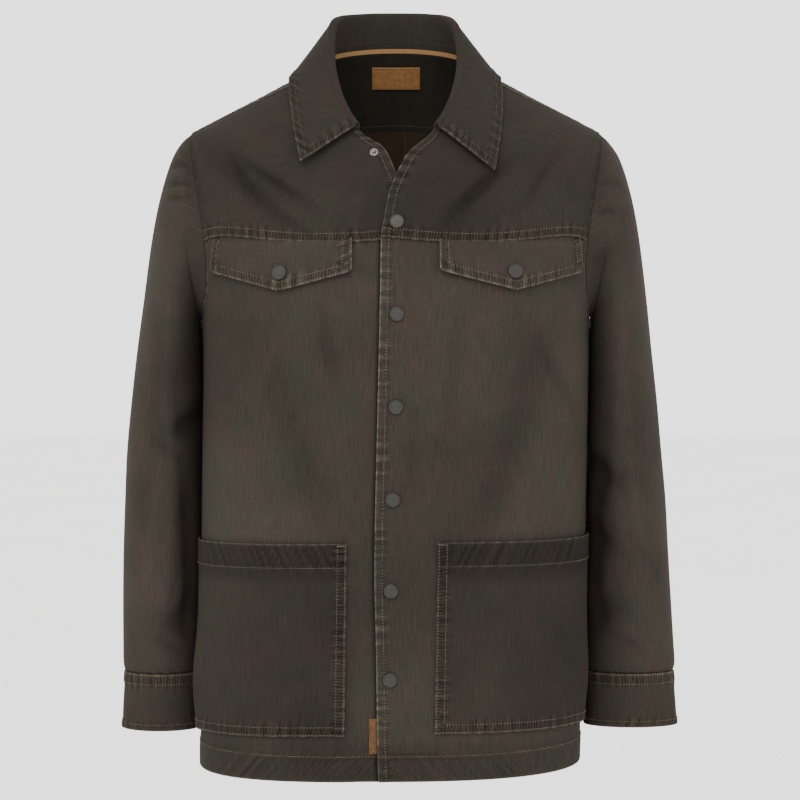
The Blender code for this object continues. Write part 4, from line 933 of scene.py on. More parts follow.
def front_yoke(side):
    """One front yoke, from its seam on the chest to the shoulder seam and the neck."""
    edge, drop = (OVER_EDGE, None) if side == "left" else (UNDER_EDGE, underlap)
    keys = free_edge(edge, YOKE_EDGE_HEIGHTS)
    top = angle_at(edge[-1][0], NECK_LEVEL, math.copysign(33.0, edge[-1][0]), axis=0)
    keys.append((top, float(NECK_LEVEL)))
    outer = joined(ARM_FRONT[FRONT_YOKE_ROW * KEY_STEPS:], shoulder_seam())
    if side == "right":
        outer = mirrored(outer)
    sheet = sheet_on_body(body_pairs(through(keys, KEY_STEPS), outer), drop)
    sheet.wear_and_shade -= YOKE_SHADE
    seed = 30 if side == "left" else 40
    sheet.finish_sides(seed, ("l", PLACKET), ("b", FELLED), ("r", ARM_SEAM, (0.0, YOKE_ARMHOLE_TO)),
                       ("r", UNDER, (YOKE_ARMHOLE_TO, 1.0)))
    shell(f"front_yoke_{side}", sheet)
    rows = rows_beside(sheet, "l", PLACKET) + rows_beside(sheet, "b", FELLED)
    sew(f"front_yoke_{side}", rows)


def back(side):
    """One half of the back, from the hem to the back yoke."""
    heights = (BACK_HEM_HEIGHT,) + SIDE_HEIGHTS
    middle = [level_at(180.0, height) for height in heights]
    top = level_at(180.0, BACK_YOKE_HEIGHT)
    middle += list(np.linspace(middle[-1], top, BACK_YOKE_ROW + 3)[1:])
    centre = through([(180.0, level) for level in middle], KEY_STEPS)
    outer = joined(side_seam(), ARM_BACK[:(BACK_YOKE_ROW + 1) * KEY_STEPS + 1])
    pairs = body_pairs(centre, outer, BACK_EASE)
    if side == "right":
        pairs = pairs * (-1.0, 1.0) + (360.0, 0.0)
    sheet = sheet_on_body(pairs)
    seed = 50 if side == "left" else 60
    centre_seam = FELLED if side == "left" else UNDER
    sheet.finish_sides(seed, ("l", centre_seam), ("b", HEM), ("r", PLAIN, (0.0, BACK_ARMHOLE_FROM)),
                       ("r", ARM_SEAM, (BACK_ARMHOLE_FROM, 1.0)), ("t", UNDER))
    shell(f"back_{side}", sheet)
    rows = rows_beside(sheet, "l", centre_seam) + rows_beside(sheet, "b", HEM)
    if centre_seam.rows:
        rows += rows_beside(sheet.wrong_side(WALL), "l", centre_seam, (0.5, 1.0))
    sew(f"back_{side}", rows)


def back_yoke():
    """The back yoke, in one piece over both shoulders."""
    outer = joined(ARM_BACK[(BACK_YOKE_ROW + 1) * KEY_STEPS:], ARM_TOP, shoulder_seam())
    bottom = level_at(180.0, BACK_YOKE_HEIGHT)
    levels = np.linspace(bottom, NECK_LEVEL, (len(outer) - 1) // KEY_STEPS + 1)
    centre = through([(180.0, level) for level in levels], KEY_STEPS)
    half = body_pairs(centre, outer, BACK_EASE)
    other = half * (-1.0, 1.0) + (360.0, 0.0)
    sheet = sheet_on_body(np.concatenate([half[:, ::-1], other[:, 1:]], axis=1))
    sheet.finish_sides(71, ("b", FELLED), ("l", FELLED), ("r", FELLED))
    shell("back_yoke", sheet, wrong_side="yoke_wrong_side")
    rows = rows_beside(sheet, "b", FELLED) + rows_beside(sheet.wrong_side(WALL), "b", FELLED)
    sew("back_yoke", rows + rows_beside(sheet, "l", FELLED) + rows_beside(sheet, "r", FELLED))


def ring_points(outer, inner, middle, half_depth, turns):
    """A ring of a sleeve: from its outer end, round the front, to its inner end and the back."""
    outer, inner = np.array(outer), np.array(inner)
    centre, reach = (outer + inner) / 2, (outer - inner) / 2
    points = centre + np.outer(np.cos(turns), reach)
    points[:, 1] = middle - half_depth * np.sin(turns)
    return points


def tube_normals(grid):
    """Outward normals of a tube's grid of rings."""
    along = np.gradient(grid, axis=0)
    around = np.roll(grid, -1, axis=1) - np.roll(grid, 1, axis=1)
    normals = np.cross(around, along)
    centre = grid.mean(axis=1, keepdims=True)
    outward = np.sign(np.sum((grid - centre) * normals, axis=2).mean())
    return normals * outward / np.linalg.norm(normals, axis=2, keepdims=True)


def creased(grid, normals, turns, creases, drapes):
    """A sleeve's rings with its creases pressed in and its soft folds running down."""
    degrees = np.degrees(turns)
    depth = np.zeros(grid.shape[:2])
    for crease in creases:
        along = (degrees - crease.turn)[None, :]
        across = (grid[..., 2] - crease.height - crease.slope * along) / crease.half_width
        fade = np.exp(-(along / crease.half_turn) ** 2)
        depth += crease.depth * fade * np.exp(-across**2)
        depth -= CREASE_RIDGE * crease.depth * fade * np.exp(-(across - 1.9) ** 2)
    for drape in drapes:
        fade = smooth_step((drape.top - grid[..., 2]) / DRAPE_FADE) * smooth_step(
            (grid[..., 2] - drape.bottom) / DRAPE_FADE)
        lean = DRAPE_SWAY * np.sin((grid[..., 2] - drape.top) / DRAPE_WAVE)
        beside = (degrees[None] + lean - drape.turn) / drape.half_turn
        depth += drape.depth * fade * np.exp(-beside**2)
    return grid - normals * depth[..., None]


def tube_uv(grid):
    """Places on the flat cloth for a tube, with its first column again at the end."""
    closed = np.concatenate([grid, grid[:, :1]], axis=1)
    around = run_along(closed, 1)
    around -= around[:, -1:] / 2
    down = run_along(closed, 0)
    return np.stack([around, -down], -1)


SLEEVE_STEPS = 13
SLEEVE_COLUMNS_STEP = 2
SLEEVE_SEAM_TURN = 204.0
SLEEVE_SHADE = 0.26  # painted shade on the side that faces the body, where the body shades it
SLEEVE_SHADE_TURN, SLEEVE_SHADE_WIDTH = 132.0, 34.0
SLEEVE_END = Edge("under", slant=0.2)
SLEEVE_ROWS = (1, 3)  # columns of the sleeve past its back seam that carry its stitch rows


def sleeve(side, sections, creases, drapes):
    """One sleeve, from the armhole to the cuff."""
    flip = np.array([1.0 if side == "left" else -1.0, 1.0, 1.0])
    hole_pairs = ARMHOLE[::SLEEVE_COLUMNS_STEP]
    hole = form(*hole_pairs.T)
    turns = np.linspace(0, 2 * math.pi, len(hole), endpoint=False)
    rings = [hole]
    for ring in sections:
        rings.append(ring_points((ring.outer, 0, ring.z_outer), (ring.inner, 0, ring.z_inner),
                                 ring.middle, ring.half_depth, turns))
    grid = through(rings, SLEEVE_STEPS)
    normals = tube_normals(grid)
    hole_normals = form_normals(*hole_pairs.T)
    share = smooth_step((np.sum(normals[0] * hole_normals, axis=1) - 0.2) / 0.6)[:, None]
    fade = np.exp(-(np.arange(len(grid)) / 6.0) ** 2)[:, None, None]
    toward = hole_normals * share + normals[0] * (1 - share)
    normals = normals * (1 - fade) + toward[None] * fade
    normals /= np.linalg.norm(normals, axis=2, keepdims=True)
    keep = smooth_step((np.arange(len(grid)) - 2) / 8.0) * smooth_step(
        (len(grid) - 1 - np.arange(len(grid))) / 6.0)
    pressed = creased(grid, normals, turns, creases, drapes)
    hollow = np.sum((grid - pressed) * normals, axis=2) * keep[:, None]
    grid = grid + (pressed - grid) * keep[:, None, None]
    grid, normals = grid * flip, normals * flip
    sheet = Sheet(grid, normals, tube_uv(grid), loop=True)
    # Painted shade in the hollows of the creases and drapes, and on the side that faces the body.
    sheet.wear_and_shade -= 0.75 * FOLD_SHADE * np.clip(hollow / (2.4 * MM), -0.15, 1.0)
    facing_body = np.exp(-((np.degrees(turns) - SLEEVE_SHADE_TURN) / SLEEVE_SHADE_WIDTH) ** 2)
    sheet.wear_and_shade -= SLEEVE_SHADE * facing_body[None] * smooth_step((-0.13 - grid[..., 2]) / 0.05)
    seed = 80 if side == "left" else 90
    sheet.finish_sides(seed, ("b", UNDER), ("t", SLEEVE_END))
    back_seam(sheet, np.degrees(turns), seed + 2)
    shell(f"sleeve_{side}", sheet)
    column = int(round(SLEEVE_SEAM_TURN / 360.0 * len(turns)))
    outer = sheet.outer()
    rows = [stitches(outer[6:-4, column + beside], sheet.normals[6:-4, column + beside])
            for beside in SLEEVE_ROWS]
    sew(f"sleeve_{side}", rows)


def back_seam(sheet, degrees, seed):
    """The felled seam down the back of a sleeve, as a step with puckers beside it."""
    around = (degrees - SLEEVE_SEAM_TURN)[None, :] * 0.95 * MM * np.ones(sheet.points.shape[:2])
    waves = ripple(sheet.off["b"] + 0.4 * around, seed)
    band = smooth_step((around + 0.5 * MM) / MM) * smooth_step((12 * MM - around) / (3 * MM))
    reach = smooth_step((22 * MM - np.abs(around - 6 * MM)) / (18 * MM))
    sheet.lift += sizes().fold_lift * band + sizes().pucker_height * waves * reach
    sheet.wear_and_shade += 0.5 * waves * reach + 0.5 * np.exp(-((around - 0.5 * MM) / (2 * MM)) ** 2)


CUFF_STEPS = 9
CUFF_COLUMNS = 120
CUFF_TOP = Edge("over", (1.8 * MM, 11.2 * MM))
CUFF_END = Edge("fold", (6.5 * MM,), 0.3)


def cuff(side, sections):
    """One cuff, a band closed all round."""
    flip = np.array([1.0 if side == "left" else -1.0, 1.0, 1.0])
    turns = np.linspace(0, 2 * math.pi, CUFF_COLUMNS, endpoint=False)
    rings = [ring_points((ring.outer, 0, ring.z), (ring.inner, 0, ring.z), ring.middle,
                         ring.half_depth, turns) for ring in sections]
    dense = through(rings, CUFF_STEPS * 4)
    run = run_along(dense[:, 0])
    places = spaced(run[-1], 10, 1.0, 1.0)
    index = np.interp(places, run, np.arange(len(dense)))
    low = np.clip(index.astype(int), 0, len(dense) - 2)
    part = (index - low)[:, None, None]
    grid = (dense[low] * (1 - part) + dense[low + 1] * part) * flip
    sheet = Sheet(grid, tube_normals(grid), tube_uv(grid), loop=True)
    seed = 100 if side == "left" else 110
    sheet.wear_and_shade -= CUFF_SHADE
    sheet.finish_sides(seed, ("b", CUFF_TOP), ("t", CUFF_END))
    shell(f"cuff_{side}", sheet, CUFF_WALL)
    sew(f"cuff_{side}", rows_round(sheet, "b", CUFF_TOP) + rows_round(sheet, "t", CUFF_END))


def rows_round(sheet, side, edge):
    """Stitch rows that run all round a tube."""
    rows = []
    for distance in edge.rows:
        points, normals = sheet.line(side, distance)
        rows.append(stitches(*(np.concatenate([line, line[:2]]) for line in (points, normals))))
    return rows


def left_station(row):
    """The collar's section on the left, where its point is wider and lower."""
    front_share = smooth_step((95.0 - row.angle) / 60.0)
    crest_x = row.crest_x + COLLAR_LEFT_FRONT * front_share
    crest_x -= COLLAR_LEFT_CREST * math.exp(-((row.angle - 118.0) / 28.0) ** 2)
    edge_x = row.edge_x + COLLAR_LEFT_WIDER * front_share
    edge_x -= COLLAR_LEFT_EDGE * math.exp(-((row.angle - 105.0) / 30.0) ** 2)
    return row._replace(crest_x=crest_x, edge_x=edge_x,
                        edge_z=row.edge_z - COLLAR_LEFT_LOWER * front_share)


def right_station(row):
    return row._replace(angle=360.0 - row.angle, crest_x=-row.crest_x, edge_x=-row.edge_x)


def clear_of_form(points, clearance):
    """The points, moved out where they come nearer than this to the shoulders' outer face."""
    angles, levels = np.meshgrid(np.arange(0.0, 360.0, 2.0), np.arange(5.0, NECK_LEVEL, 0.08))
    cloth = form(angles.ravel(), levels.ravel())
    normals = form_normals(angles.ravel(), levels.ravel())
    made = points.copy()
    for index, point in enumerate(points):
        nearest = np.argmin(np.sum((cloth - point) ** 2, axis=1))
        short = clearance - float(np.dot(point - cloth[nearest], normals[nearest]))
        made[index] += normals[nearest] * (short + math.hypot(short, 0.6 * MM)) / 2
    return made


STAND_LINES, ROLL_LINES = 7, 9
FALL_DEPTH, FALL_LINES = 75.0 * MM, 20
COLLAR_MIDDLE = 130


def collar_grid():
    """The middle of the collar's cloth, from the seam over the roll to the free edge."""
    rows = [left_station(row) for row in COLLAR[::-1]] + [right_station(row) for row in COLLAR[1:]]
    dense = through(np.array(rows), 40)
    run = (run_along(dense[:, 4:7]) + run_along(dense[:, 1:4])) / 2
    wanted = spaced(run[-1], COLLAR_MIDDLE, 1.0, 1.0)
    stations = Station(*(np.interp(wanted, run, column) for column in dense.T))
    angles = stations.angle
    neck = np.full(len(angles), float(NECK_LEVEL))
    seam, seam_normals = form(angles, neck), form_normals(angles, neck)
    onward = seam - form(angles, neck - 0.02)
    onward /= np.linalg.norm(onward, axis=1, keepdims=True)
    crest = np.stack([stations.crest_x, stations.crest_y, stations.crest_z], axis=1)
    edge = np.stack([stations.edge_x, stations.edge_y, stations.edge_z], axis=1)
    away = crest * (1.0, 1.0, 0.0)
    away /= np.linalg.norm(away, axis=1, keepdims=True)
    foot = seam - seam_normals * WALL / 2 + onward * 0.3 * MM
    inner_top, outer_top = crest - away * COLLAR_ROLL, crest + away * COLLAR_ROLL
    lines = [foot + (inner_top - foot) * share for share in np.linspace(0, 1, STAND_LINES)]
    for turn in np.linspace(0, math.pi, ROLL_LINES + 2)[1:-1]:
        up = np.array([0.0, 0.0, COLLAR_ROLL * math.sin(turn)])
        lines.append(crest - away * COLLAR_ROLL * math.cos(turn) + up)
    rises = np.concatenate([EDGE_STEPS, np.linspace(EDGE_STEPS[-1], FALL_DEPTH, FALL_LINES)[1:]])
    for share in 1 - rises[::-1] / FALL_DEPTH:
        belly = away * COLLAR_BELLY * math.sin(math.pi * share)
        fall = outer_top * (1 - share) + edge * share + belly
        lines.append(clear_of_form(fall, COLLAR_WALL / 2 + COLLAR_CLEARANCE))
    grid = np.array(lines)
    normals = np.cross(directions(grid, 1), directions(grid, 0))
    normals /= np.linalg.norm(normals, axis=2, keepdims=True)
    normals *= np.sign(np.sum(normals[2] * away, axis=1).mean())
    normals[0] = seam_normals
    return angles, grid, normals


def collar_and_tape():
    """The collar, and the tape that covers its seam inside."""
    angles, grid, normals = collar_grid()
    face = grid - normals * COLLAR_WALL / 2
    uv = np.stack([run_along(grid, 1) - run_along(grid, 1)[:, -1:] / 2, -run_along(grid, 0)], -1)
    sheet = Sheet(face, -normals, uv)
    first_fall = STAND_LINES + ROLL_LINES
    down = run_along(grid, 0)[:, [0, -1]]
    start = float((down[first_fall] / down[-1]).min())
    sheet.wear_and_shade -= COLLAR_SHADE
    sheet.finish_sides(120, ("t", LEAF), ("l", LEAF, (start, 1.0)), ("r", LEAF, (start, 1.0)))
    shell("collar", sheet, COLLAR_WALL)
    rows = rows_beside(sheet, "t", LEAF, clear="lr")
    for side in "lr":
        rows += rows_beside(sheet, side, LEAF, (start, 1.0), "t")
    stand = sheet.outer()[2]
    rows.append(stitches(stand, -normals[2]))
    sew("collar", rows, "faded_thread")
    taped = (angles > TAPE_FROM) & (angles < TAPE_TO)
    foot, up = grid[0, taped], grid[1, taped] - grid[0, taped]
    up /= np.linalg.norm(up, axis=1, keepdims=True)
    inward = -normals[1, taped]
    low = foot + up * TAPE_RISE + inward * (COLLAR_WALL / 2 + TAPE_GAP + TAPE_WALL)
    steps = np.linspace(0, 1, 5)[:, None, None]
    tape = low[None] + up[None] * TAPE_HEIGHT * steps
    tape_uv = np.stack([np.broadcast_to(run_along(low), tape.shape[:2]),
                        np.broadcast_to(steps[:, :, 0] * TAPE_HEIGHT, tape.shape[:2])], -1)
    strip = Sheet(tape, np.broadcast_to(inward, tape.shape), tape_uv)
    strip.lift += 0.18 * MM * ripple(strip.off["l"], 130)
    shell("neck_tape", strip, TAPE_WALL, "tan_tape", "tan_tape", "tan_tape")


FLAP_DEPTH = 40.0 * MM


def flap_sheet(shape):
    """A chest flap's outer face: it hangs from the yoke seam to a blunt point and lifts off."""
    sign = math.copysign(1.0, shape.inner)
    width = abs(shape.outer - shape.inner)
    across = shape.inner + sign * spaced(width, 34, 1.0, 0.62)
    corners = [abs(shape.inner), abs(shape.point), abs(shape.outer)]
    ends = np.interp(np.abs(across), corners, [shape.z_inner, shape.z_point, shape.z_outer])
    corner = 6.0 * MM
    for edge in (shape.inner, shape.outer):
        near = np.clip(1 - np.abs(across - edge) / corner, 0, 1)
        ends += 2.2 * MM * near**2
    rises = np.concatenate([EDGE_STEPS, np.linspace(EDGE_STEPS[-1], FLAP_DEPTH, 9)[1:]])
    drops = 1 - rises / FLAP_DEPTH
    guess = np.copysign(90.0 * np.minimum(np.abs(across) / 0.21, 0.95) ** 1.4, across)
    rows = []
    for share in drops:
        heights = FLAP_TOP + (ends - FLAP_TOP) * share
        rows.append(locate(0, across, heights, guess, levels_at(guess, heights)))
    pairs = np.array(rows)
    flat = pairs.reshape(-1, 2)
    normals = form_normals(*flat.T).reshape(*pairs.shape[:2], 3)
    lift = LAID_ON + FLAP_LIFT * drops**1.5 + FLAP_WALL
    tucked = smooth_step((drops - 0.03) / 0.16)
    lift = lift * tucked - 0.7 * MM * (1 - tucked)
    points = form(*flat.T).reshape(normals.shape) + normals * lift[:, None, None]
    return Sheet(points, normals, body_uv(pairs))


def flap(side):
    """One chest flap, with its double row of stitching."""
    sheet = flap_sheet(FLAPS[side])
    seed = 140 if side == "left" else 150
    sheet.finish_sides(seed, ("b", LEAF), ("l", LEAF), ("r", LEAF))
    # Painted shade: the top of the flap is darkened, as the yoke's edge shades it.
    sheet.wear_and_shade -= 0.9 * np.exp(-(sheet.off["t"] / (2.6 * MM)) ** 2)
    shell(f"flap_{side}", sheet, FLAP_WALL)
    sew(f"flap_{side}", rows_beside(sheet, "b", LEAF, clear="lr")
        + rows_beside(sheet, "l", LEAF, clear="b") + rows_beside(sheet, "r", LEAF, clear="b"))


POCKET_CREASES = (
    Fold(-0.0900, -0.5380, -6.0, 0.0400, 0.0045, 0.0012, -1),
    Fold(-0.1350, -0.5560, 12.0, 0.0300, 0.0060, 0.0008, -1),
    Fold(-0.1100, -0.6300, 40.0, 0.0420, 0.0090, -0.0009, -1),
    Fold(-0.0850, -0.6700, -50.0, 0.0260, 0.0070, 0.0009, -1),
    Fold(0.0850, -0.5400, 5.0, 0.0380, 0.0045, 0.0010, -1),
    Fold(0.1400, -0.5900, -35.0, 0.0360, 0.0080, 0.0010, -1),
    Fold(0.1050, -0.6450, 55.0, 0.0340, 0.0080, -0.0009, -1),
)


def pocket_sheet(shape):
    """A lower pocket's outer face, from its inner edge round to the side seam."""
    sign = math.copysign(1.0, shape.inner_top)
    side_angle = sign * POCKET_SIDE_ANGLE
    tall = shape.z_top - shape.z_bottom
    ups = spaced(tall, 52, 1.0, 1.0) / tall
    share = np.linspace(0, 1, 121)[:, None]
    rows, lifts = [], []
    for up in ups:
        inner = shape.inner_bottom + (shape.inner_top - shape.inner_bottom) * up
        height = shape.z_bottom + tall * up
        side_height = shape.z_side_bottom + (shape.z_side_top - shape.z_side_bottom) * up
        start = locate(0, inner, height, sign * 15.0, level_at(0.0, height))[0]
        end = np.array([side_angle, level_at(side_angle, side_height)])
        line = start * (1 - share) + end * share
        run = run_along(form(*line.T))
        wanted = spaced(run[-1], 58, 1.0, 1.0)
        rows.append(np.stack([np.interp(wanted, run, line[:, axis]) for axis in (0, 1)], 1))
        across = wanted / run[-1]
        belly = np.sin(math.pi * across) ** 0.7 * math.sin(math.pi * min(up * 0.72 + 0.02, 1.0))
        swell = np.exp(-((across - 0.86) / 0.09) ** 2) * math.exp(-((up - 0.24) / 0.26) ** 2)
        lifts.append(LAID_ON + POCKET_BELLY * belly + shape.swell * swell)
    pairs = np.array(rows)
    flat = pairs.reshape(-1, 2)
    normals = form_normals(*flat.T).reshape(*pairs.shape[:2], 3)
    points = form(*flat.T).reshape(normals.shape)
    points += normals * (np.array(lifts) + POCKET_WALL)[..., None]
    points[..., 1] += fold_depth(points.reshape(-1, 3), POCKET_CREASES).reshape(points.shape[:2])
    return Sheet(points, normals, body_uv(pairs))


def pocket(side):
    """One lower pocket, open at the top, with a bar tack at its inner corner."""
    sheet = pocket_sheet(POCKETS[side])
    sheet.wear_and_shade -= POCKET_SHADE
    seed = 160 if side == "left" else 170
    sheet.finish_sides(seed, ("t", POCKET_HEM), ("l", FELLED), ("b", FELLED), ("r", UNDER))
    shell(f"pocket_{side}", sheet, POCKET_WALL)
    rows = rows_beside(sheet, "b", FELLED, clear="l") + rows_beside(sheet, "l", FELLED, clear="b")
    rows += rows_beside(sheet, "t", POCKET_HEM)
    rows.append(bar_tack(sheet))
    sew(f"pocket_{side}", rows)


def bar_tack(sheet):
    """A short bar of close stitches across the top of the inner edge."""
    points, normals = sheet.line("t", 2.4 * MM)
    run = run_along(points)
    inside = (run > 1.0 * MM) & (run < 10.5 * MM)
    bars = []
    for point, normal in zip(points[inside], normals[inside]):
        up = np.array([0.0, 0.0, 1.3 * MM])
        for beside in (-0.5, 0.5):
            centre = point + np.array([beside * MM, 0.0, 0.0]) + normal * 0.2 * MM
            line = np.array([centre - up * 2, centre + up * 2])
            bars.append(stitches(line, np.array([normal] * 2), TACK))
    return np.concatenate(bars)


# ---------------------------------------------------------------- trims and snaps

SNAP_HEIGHT = 2.4 * MM
SNAPS = ((0.0010, -0.1706), (0.0010, -0.2655), (0.0000, -0.3608), (-0.0031, -0.4561),
         (-0.0051, -0.5504), (-0.0062, -0.6426))
FLAP_SNAPS = {"left": (0.1215, -0.2217), "right": (-0.1187, -0.2232)}
STUD = (-0.0226, -0.0990)
LABEL_BORDER, TAB_BORDER = 1.9 * MM, 1.5 * MM


def patch_sheet(across, heights, angle, lift, inside=False):
    """A small flat piece on the form, on its outer or inner face."""
    grid_x, grid_z = np.meshgrid(across, heights)
    sign = 150.0 if angle == 0 else -150.0
    levels = levels_at(angle, heights)
    first = np.broadcast_to(levels[:, None], grid_x.shape)
    pairs = locate(0, grid_x.ravel(), grid_z.ravel(), angle + sign * grid_x.ravel(), first.ravel())
    normals = form_normals(*pairs.T) * (-1.0 if inside else 1.0)
    points = form(*pairs.T) + normals * lift
    shape = (*grid_x.shape, 3)
    uv = np.stack([grid_x, grid_z], -1)
    return Sheet(points.reshape(shape), normals.reshape(shape), uv)


def fine(low, high, count):
    """Places from low to high, close together within 2.2 mm of both ends."""
    near = np.linspace(0, 2.2 * MM, 6)
    middle = np.linspace(low + near[-1], high - near[-1], count + 2)[1:-1]
    return np.concatenate([low + near, middle, high - near[::-1]])


def small_patch(node, sheet, wall, border, leather):
    """A leather patch, with its row of stitches pressed in this far from its edge all round."""
    for side in "lrbt":
        off = sheet.off[side]
        sheet.lift -= 0.18 * MM * np.exp(-((off - border) / (0.5 * MM)) ** 2)
        sheet.lift -= 0.35 * MM * np.clip(1 - off / (0.7 * MM), 0, 1) ** 2
    shell(node, sheet, wall, "tan_leather", leather, leather)
    rows = []
    for side in "lrbt":
        others = "bt" if side in "lr" else "lr"
        rows.append(stitches(*sheet.line(side, border, clear=others), LEATHER_STITCH))
    sew(node, rows, "faded_thread")


def label_and_tab():
    """The bare neck label inside the back yoke, and the bare tab by the inner front's hem."""
    label = patch_sheet(fine(-LABEL_HALF_WIDTH, LABEL_HALF_WIDTH, 14),
                        fine(LABEL_BOTTOM, LABEL_TOP, 6), 180.0,
                        WALL + LAID_ON + LABEL_WALL, inside=True)
    # The label takes the paler leather, painted light.
    small_patch("neck_label", label, LABEL_WALL, LABEL_BORDER, "label_leather")
    tab = patch_sheet(fine(TAB_LEFT, TAB_RIGHT, 3), fine(TAB_BOTTOM, TAB_TOP, 12), 0.0,
                      0.4 * MM - UNDERLAP_DROP + TAB_WALL)
    small_patch("hem_tab", tab, TAB_WALL, TAB_BORDER, "tan_leather")


def on_front(across, height, lift):
    """A place on the front, raised by this much, with Z square to the cloth and Y up."""
    angle, level = locate(0, across, height, across * 300.0, level_at(0.0, height))[0]
    out = Vector(form_normals(np.array([angle]), np.array([level]))[0])
    place = Vector(form(angle, level)[0]) + out * lift
    side = Vector((0.0, 0.0, 1.0)).cross(out).normalized()
    turn = Matrix((side, out.cross(side), out)).transposed().to_4x4()
    return Matrix.Translation(place) @ turn


def stand_for(made, slot, *nodes):
    """The piece rides with the jacket and stands for these CAD nodes, which are hidden. The slot is not
    used.
    """
    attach(made, "root")
    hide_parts(*nodes)


def select_only(made):
    for other in bpy.context.selected_objects:
        other.select_set(False)
    made.select_set(True)
    bpy.context.view_layer.objects.active = made


def bevelled(made, width, segments=3):
    """Its sharp edges rounded, with the modifier applied."""
    select_only(made)
    bevel = made.modifiers.new("Rounded edges", "BEVEL")
    bevel.width = width
    bevel.segments = segments
    bevel.limit_method = "ANGLE"
    bevel.angle_limit = math.radians(25)
    bpy.ops.object.modifier_apply(modifier=bevel.name)
    bpy.ops.object.shade_smooth()


def dish(radius, height, steps, vertices=48):
    """A disc with its top face inset and moved by each (inset, move) step in turn."""
    bpy.ops.mesh.primitive_cylinder_add(vertices=vertices, radius=radius, depth=height,
                                        location=(0, 0, height / 2))
    made = bpy.context.active_object
    bpy.ops.object.transform_apply(location=True, rotation=True, scale=True)
    bpy.ops.object.mode_set(mode="EDIT")
    bpy.ops.mesh.select_mode(type="FACE")
    bpy.ops.mesh.select_all(action="DESELECT")
    bpy.ops.object.mode_set(mode="OBJECT")
    top = max(made.data.polygons, key=lambda face: face.center.z)
    top.select = True
    bpy.ops.object.mode_set(mode="EDIT")
    for inset, move in steps:
        bpy.ops.mesh.inset(thickness=inset)
        bpy.ops.transform.translate(value=(0, 0, move))
    bpy.ops.object.mode_set(mode="OBJECT")
    return made


def settle(made, name, place, material):
    """A turned piece, put in its place with its mesh left at the origin."""
    made.name = made.data.name = name
    made.data.materials.clear()
    made.data.materials.append(finish(material))
    made.data.transform(place)
    made.matrix_world = Matrix.Identity(4)
    made.data.set_sharp_from_angle(angle=math.radians(35))


def snap_caps():
    """The painted snap caps: a shallow dish inside a rolled rim."""
    places = {f"snap_{index}": on_front(across, height, 0.4 * MM)
              for index, (across, height) in enumerate(SNAPS, start=1)}
    for side, (across, height) in FLAP_SNAPS.items():
        lift = LAID_ON + FLAP_LIFT + FLAP_WALL + 0.3 * MM
        places[f"flap_snap_{side}"] = on_front(across, height, lift)
    cap = dish(sizes().snap_radius, 0.72 * SNAP_HEIGHT,
               ((0.5 * MM, 0.28 * SNAP_HEIGHT), (0.6 * MM, 0.0), (0.4 * MM, -0.60 * MM),
                (0.6 * MM, 0.0), (2.2 * MM, 0.12 * MM), (1.6 * MM, 0.05 * MM)))
    bevelled(cap, 0.22 * MM)
    caps = [cap]
    for _ in range(len(places) - 1):
        other = cap.copy()
        other.data = cap.data.copy()
        bpy.context.scene.collection.objects.link(other)
        caps.append(other)
    for made, (node, place) in zip(caps, places.items()):
        settle(made, f"{node}_cap", place, "olive_snap")
        stand_for(made, "olive_snap", node)


def stud():
    """The metal stud near the neck: a flange, a waisted post and its ball."""
    made = dish(4.6 * MM, 0.6 * MM,
                ((0.5 * MM, 0.35 * MM), (0.7 * MM, -0.3 * MM), (1.2 * MM, 0.15 * MM),
                 (0.3 * MM, 1.0 * MM), (-0.5 * MM, 0.7 * MM), (0.3 * MM, 0.55 * MM),
                 (0.8 * MM, 0.0), (0.3 * MM, -0.5 * MM)), 32)
    bevelled(made, 0.12 * MM, 2)
    settle(made, "top_stud_metal", on_front(*STUD, 0.4 * MM), "steel_stud")
    stand_for(made, "steel_stud", "top_stud")


# ---------------------------------------------------------------- finishes

def linear(code):
    """A linear colour from an sRGB hex code."""
    parts = [int(code[start:start + 2], 16) / 255 for start in (1, 3, 5)]
    return [part / 12.92 if part <= 0.04045 else ((part + 0.055) / 1.055) ** 2.4
            for part in parts] + [1.0]


def add_node(tree, kind, inputs=None, output=0, **settings):
    """Adds a node with its settings, and its inputs, by name or place, set to values or linked to
    other nodes' outputs. Returns one of its outputs."""
    made = tree.nodes.new(kind)
    for name, value in settings.items():
        setattr(made, name, value)
    for name, value in (inputs or {}).items():
        if isinstance(value, bpy.types.NodeSocket):
            tree.links.new(value, made.inputs[name])
        else:
            made.inputs[name].default_value = value
    return made.outputs[output] if len(made.outputs) else None


def new_material(name):
    made = bpy.data.materials.new(name)
    made.use_nodes = True
    made.node_tree.nodes.clear()
    return made, made.node_tree


NOISE, WAVE, RANGE, MIX, MATH, MAPPING, ATTRIBUTE, BUMP, SURFACE = (f"ShaderNode{kind}" for kind in (
    "TexNoise", "TexWave", "MapRange", "Mix", "Math", "Mapping", "Attribute", "Bump", "BsdfPrincipled"))
SMOOTH = {"interpolation_type": "SMOOTHSTEP"}
TIMES = {"operation": "MULTIPLY"}
COLOUR = {"output": 2, "data_type": "RGBA"}  # a colour mix takes its share at 0, its colours at 6 and 7
DARKEN = {**COLOUR, "blend_type": "MULTIPLY"}
PER_WAVE = 0.314  # a wave texture's scale for one wave to each unit of length


